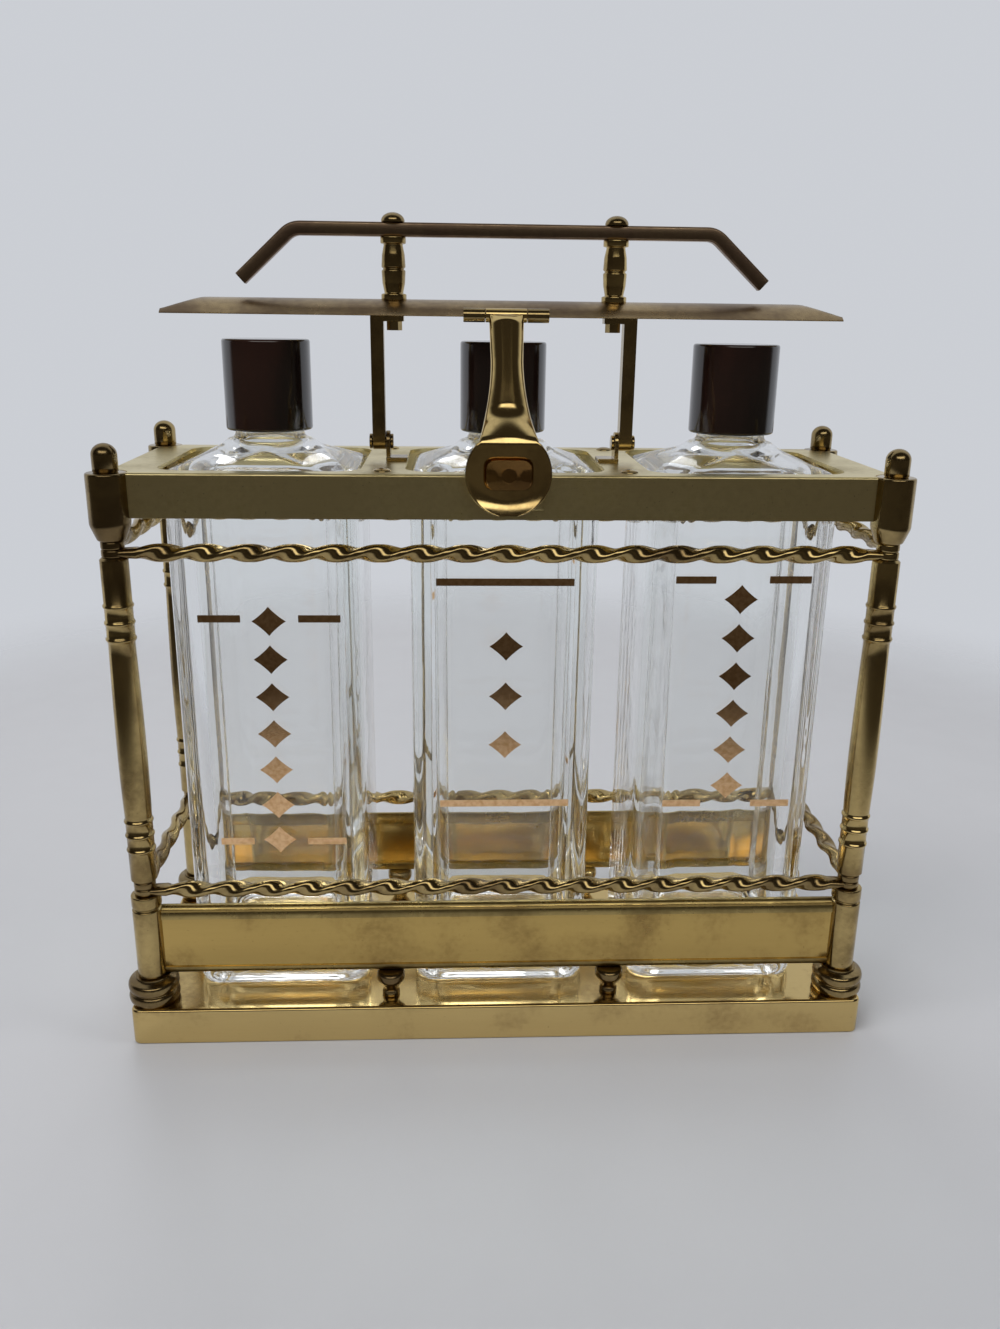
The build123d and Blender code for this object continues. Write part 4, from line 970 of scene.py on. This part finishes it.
low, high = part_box("post_screws")
handle_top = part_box("handle")[1].z
screw_x = high.x - SCREW_RADIUS
screw_half = [(0, low.z), (POST_BORE - 0.02 * MM, low.z), (POST_BORE - 0.02 * MM, handle_top)]
screw_half += [
    (SCREW_RADIUS * math.cos(a), handle_top + (high.z - handle_top) * (0.12 + 0.88 * math.sin(a)))
    for a in np.linspace(0, math.pi / 2, 10)
]
screw_half.insert(3, (SCREW_RADIUS - 0.1 * MM, handle_top))
screws = [turned(screw_half, x, handle_y) for x in (-screw_x, screw_x)]
fit(skin("post_screws_domed", screws, around=False), "lid", "aged_brass", dark_brass, "post_screws")


# ---- Hasp ----
# A spoon of polished brass hinged on the bar's front edge: a hollowed neck that widens to a dished
# disc with a curled lower lip. A shallow recess in the disc takes the turning knob.
HASP_SHEET = 1.2 * MM
HASP_KNUCKLE = 2.0 * MM
HASP_KNUCKLE_HALF = 6.1 * MM
NECK_HALF, NECK_TOP_HALF = 4.7 * MM, 5.1 * MM
FLARE_HALF, DISC_RADIUS = 8.4 * MM, 12.3 * MM
WAIST_RISE, FLARE_RISE = 30 * MM, 8.6 * MM
FLANGE_FACE, STAND_OFF = 35.7 * MM, 4.8 * MM
NECK_CROWN = 2.8 * MM
HOLLOW_RISE, HOLLOW_RUN, HOLLOW_END = 9 * MM, 8 * MM, 2.5 * MM
LEDGE_DEPTH, LEDGE_TOP, LEDGE_FOOT = 9.5 * MM, 15 * MM, 9 * MM
CURL_RISE, CURL_DEPTH, CURL_DROP = 4.5 * MM, 0.8 * MM, 5 * MM
BEND_EASES = np.array([3.2, 3.2, 1.2, 3.2, 3.2]) * MM
HASP_ROWS, HASP_POINTS = 150, 61
DISH = 0.4 * MM
LOWER_DISH = 1.0 * MM
DISH_START = 0.62
DISH_TOP, DISH_FADE = 13 * MM, 6 * MM
EDGE_THIN, EDGE_ROUND = 0.35, 0.5 * MM
RECESS_HALF = (7.0 * MM, 4.5 * MM)
RECESS_DEPTH = 0.25 * MM
RECESS_ROUND, RECESS_FADE = 5, 0.12
KNOB_LEVEL = 186.1 * MM

hasp_brass = brass(
    "hasp_brass", (0.74, 0.55, 0.23, 1), (0.44, 0.30, 0.12, 1), 0.07, 0.4, relief=0.15
)

low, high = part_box("hasp")
hinge_y, hinge_z = high.y - HASP_KNUCKLE, high.z - HASP_KNUCKLE
disc_y = -FLANGE_FACE - STAND_OFF - HASP_SHEET / 2
neck_y = hinge_y - HASP_KNUCKLE + HASP_SHEET / 2
lip_z = KNOB_LEVEL - DISC_RADIUS + CURL_RISE
side_path = soften([
    (neck_y, hinge_z), (disc_y + LEDGE_DEPTH, KNOB_LEVEL + LEDGE_TOP),
    (disc_y, KNOB_LEVEL + LEDGE_FOOT), (disc_y, lip_z), (disc_y - CURL_DEPTH, lip_z - CURL_DROP),
], BEND_EASES, steps=12)
run = np.concatenate([[0], np.cumsum(np.linalg.norm(np.diff(side_path, axis=0), axis=1))])
along = np.linspace(0, run[-1], HASP_ROWS)
side_path = np.stack([np.interp(along, run, side_path[:, k]) for k in (0, 1)], -1)
bottom = KNOB_LEVEL - DISC_RADIUS
side_path = side_path[side_path[:, 1] > bottom + 0.02 * MM]
at = side_path[:, 1]
tangent = np.gradient(side_path, axis=0)
tangent /= np.linalg.norm(tangent, axis=1)[:, None]
normal = np.stack([tangent[:, 1], -tangent[:, 0]], -1)

waist, flare = KNOB_LEVEL + WAIST_RISE, KNOB_LEVEL + FLARE_RISE
upper = np.interp(at, [waist, hinge_z], [NECK_HALF, NECK_TOP_HALF])
spread = np.clip((waist - at) / (waist - flare), 0, 1)
upper = np.where(at < waist, NECK_HALF + (FLARE_HALF - NECK_HALF) * spread ** 2, upper)
round_part = np.sqrt(np.maximum(DISC_RADIUS ** 2 - (at - KNOB_LEVEL) ** 2, 0))
half_width = np.where(at > flare, upper, round_part)
hollow = NECK_CROWN * np.clip((at - KNOB_LEVEL - HOLLOW_RISE) / HOLLOW_RUN, 0, 1) ** 0.7
hollow *= np.clip((hinge_z - at) / HOLLOW_END, 0, 1) ** 0.5

w = np.linspace(-1, 1, HASP_POINTS)
across_x = half_width[:, None] * w
crown_out = hollow[:, None] * (1 - w ** 2)
recess = (
    np.abs(across_x / RECESS_HALF[0]) ** RECESS_ROUND
    + np.abs((at[:, None] - KNOB_LEVEL) / RECESS_HALF[1]) ** RECESS_ROUND
) ** (1 / RECESS_ROUND)
recess = RECESS_DEPTH * np.clip((1.0 - recess) / RECESS_FADE, 0, 1)
edge = np.clip((1 - np.abs(w)) * half_width[:, None] / EDGE_ROUND, 0, 1) ** 0.5
from_knob = np.hypot(across_x, at[:, None] - KNOB_LEVEL) / DISC_RADIUS
below_knob = np.clip((KNOB_LEVEL - at[:, None]) / DISC_RADIUS, 0, 1)
dish = np.clip((from_knob - DISH_START) / (1 - DISH_START), 0, 1) ** 1.5
dish *= DISH + LOWER_DISH * below_knob
dish *= np.clip((KNOB_LEVEL + DISH_TOP - at[:, None]) / DISH_FADE, 0, 1)
half_sheet = HASP_SHEET / 2 * (EDGE_THIN + (1 - EDGE_THIN) * edge)
front_lift = crown_out + dish - recess + half_sheet
back_lift = crown_out + dish - half_sheet


def lifted(lift):
    """Points of the hasp's face: across by x, and lifted off the side path along its normal."""
    return np.stack([
        across_x, side_path[:, :1] + normal[:, :1] * lift, side_path[:, 1:] + normal[:, 1:] * lift,
    ], -1)


hasp_grid = np.concatenate([lifted(front_lift), lifted(back_lift)[:, ::-1]], 1)
knuckle_half = soften([
    (0, -HASP_KNUCKLE_HALF), (HASP_KNUCKLE, -HASP_KNUCKLE_HALF),
    (HASP_KNUCKLE, HASP_KNUCKLE_HALF), (0, HASP_KNUCKLE_HALF),
], 0.3 * MM)
knuckle = turned(knuckle_half, 0, 0)
knuckle = np.stack([knuckle[..., 2], hinge_y + knuckle[..., 0], hinge_z + knuckle[..., 1]], -1)
hasp = skin("hasp_spoon", [hasp_grid], around=False, sharp=45)
fit(hasp, "hasp", "polished_brass", hasp_brass, "hasp")
fit(skin("hasp_knuckle", [knuckle], around=False), "hasp", "polished_brass", hasp_brass)


# ---- Turning knob ----
# An oblong brass knob whose face slopes up and down from a ridge, riveted on a shaft through the
# hasp. A cam on the shaft's inner end turns in behind the strike to lock the bar.
KNOB_RIDGE = -0.8 * MM
KNOB_SLOPE_UP, KNOB_SLOPE_DOWN = 0.24, 0.2
RIDGE_ROUND = 0.35 * MM
KNOB_GAP = 0.35 * MM
KNOB_CORNER = 2.6 * MM
RIVET_HEAD, HEAD_DEPTH, HEAD_DOME = 1.9 * MM, 1.5 * MM, 0.6 * MM

knob_brass = brass("knob_brass", (0.50, 0.29, 0.09, 1), (0.26, 0.14, 0.05, 1), 0.11, 0.5)

low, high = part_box("knob")
knob_half_x, knob_half_z = high.x, (high.z - low.z) / 2
knob_z = (low.z + high.z) / 2
thick = high.y - low.y
inner_rings = [(inset, thick) for inset in np.linspace(0.3 * MM, knob_half_z - 0.1 * MM, 20)]
knob_profile = [
    (2.5 * MM, KNOB_GAP), (0.3 * MM, KNOB_GAP), (0, KNOB_GAP + 0.4 * MM), (0, thick - 0.4 * MM),
] + inner_rings
knob = stacked(knob_profile, knob_half_x, knob_half_z, KNOB_CORNER)
from_ridge = knob[..., 1] - KNOB_RIDGE
fall = np.where(from_ridge > 0, KNOB_SLOPE_UP, KNOB_SLOPE_DOWN)
face = thick - fall * (np.hypot(from_ridge, RIDGE_ROUND) - RIDGE_ROUND)
knob[..., 2] = np.where(knob[..., 2] > 1 * MM, np.minimum(knob[..., 2], face), knob[..., 2])
knob = facing_front(knob, 0, high.y, knob_z)
fit(skin("knob_ridged", [knob], around=False, sharp=60), "knob", "aged_brass", knob_brass, "knob")

head_half = [(0, thick - HEAD_DEPTH), (RIVET_HEAD, thick - HEAD_DEPTH)]
head_half += [
    (RIVET_HEAD * math.cos(a), thick - HEAD_DOME * (1 - math.sin(a)))
    for a in np.linspace(0, math.pi / 2, 7)
]
head = facing_front(turned(head_half, 0, 0), 0, high.y, knob_z)
fit(skin("knob_rivet_head", [head], around=False), "knob", "aged_brass", knob_brass)
finished("knob_spindle", "knob", "aged_brass", knob_brass, SMALL_EDGE)
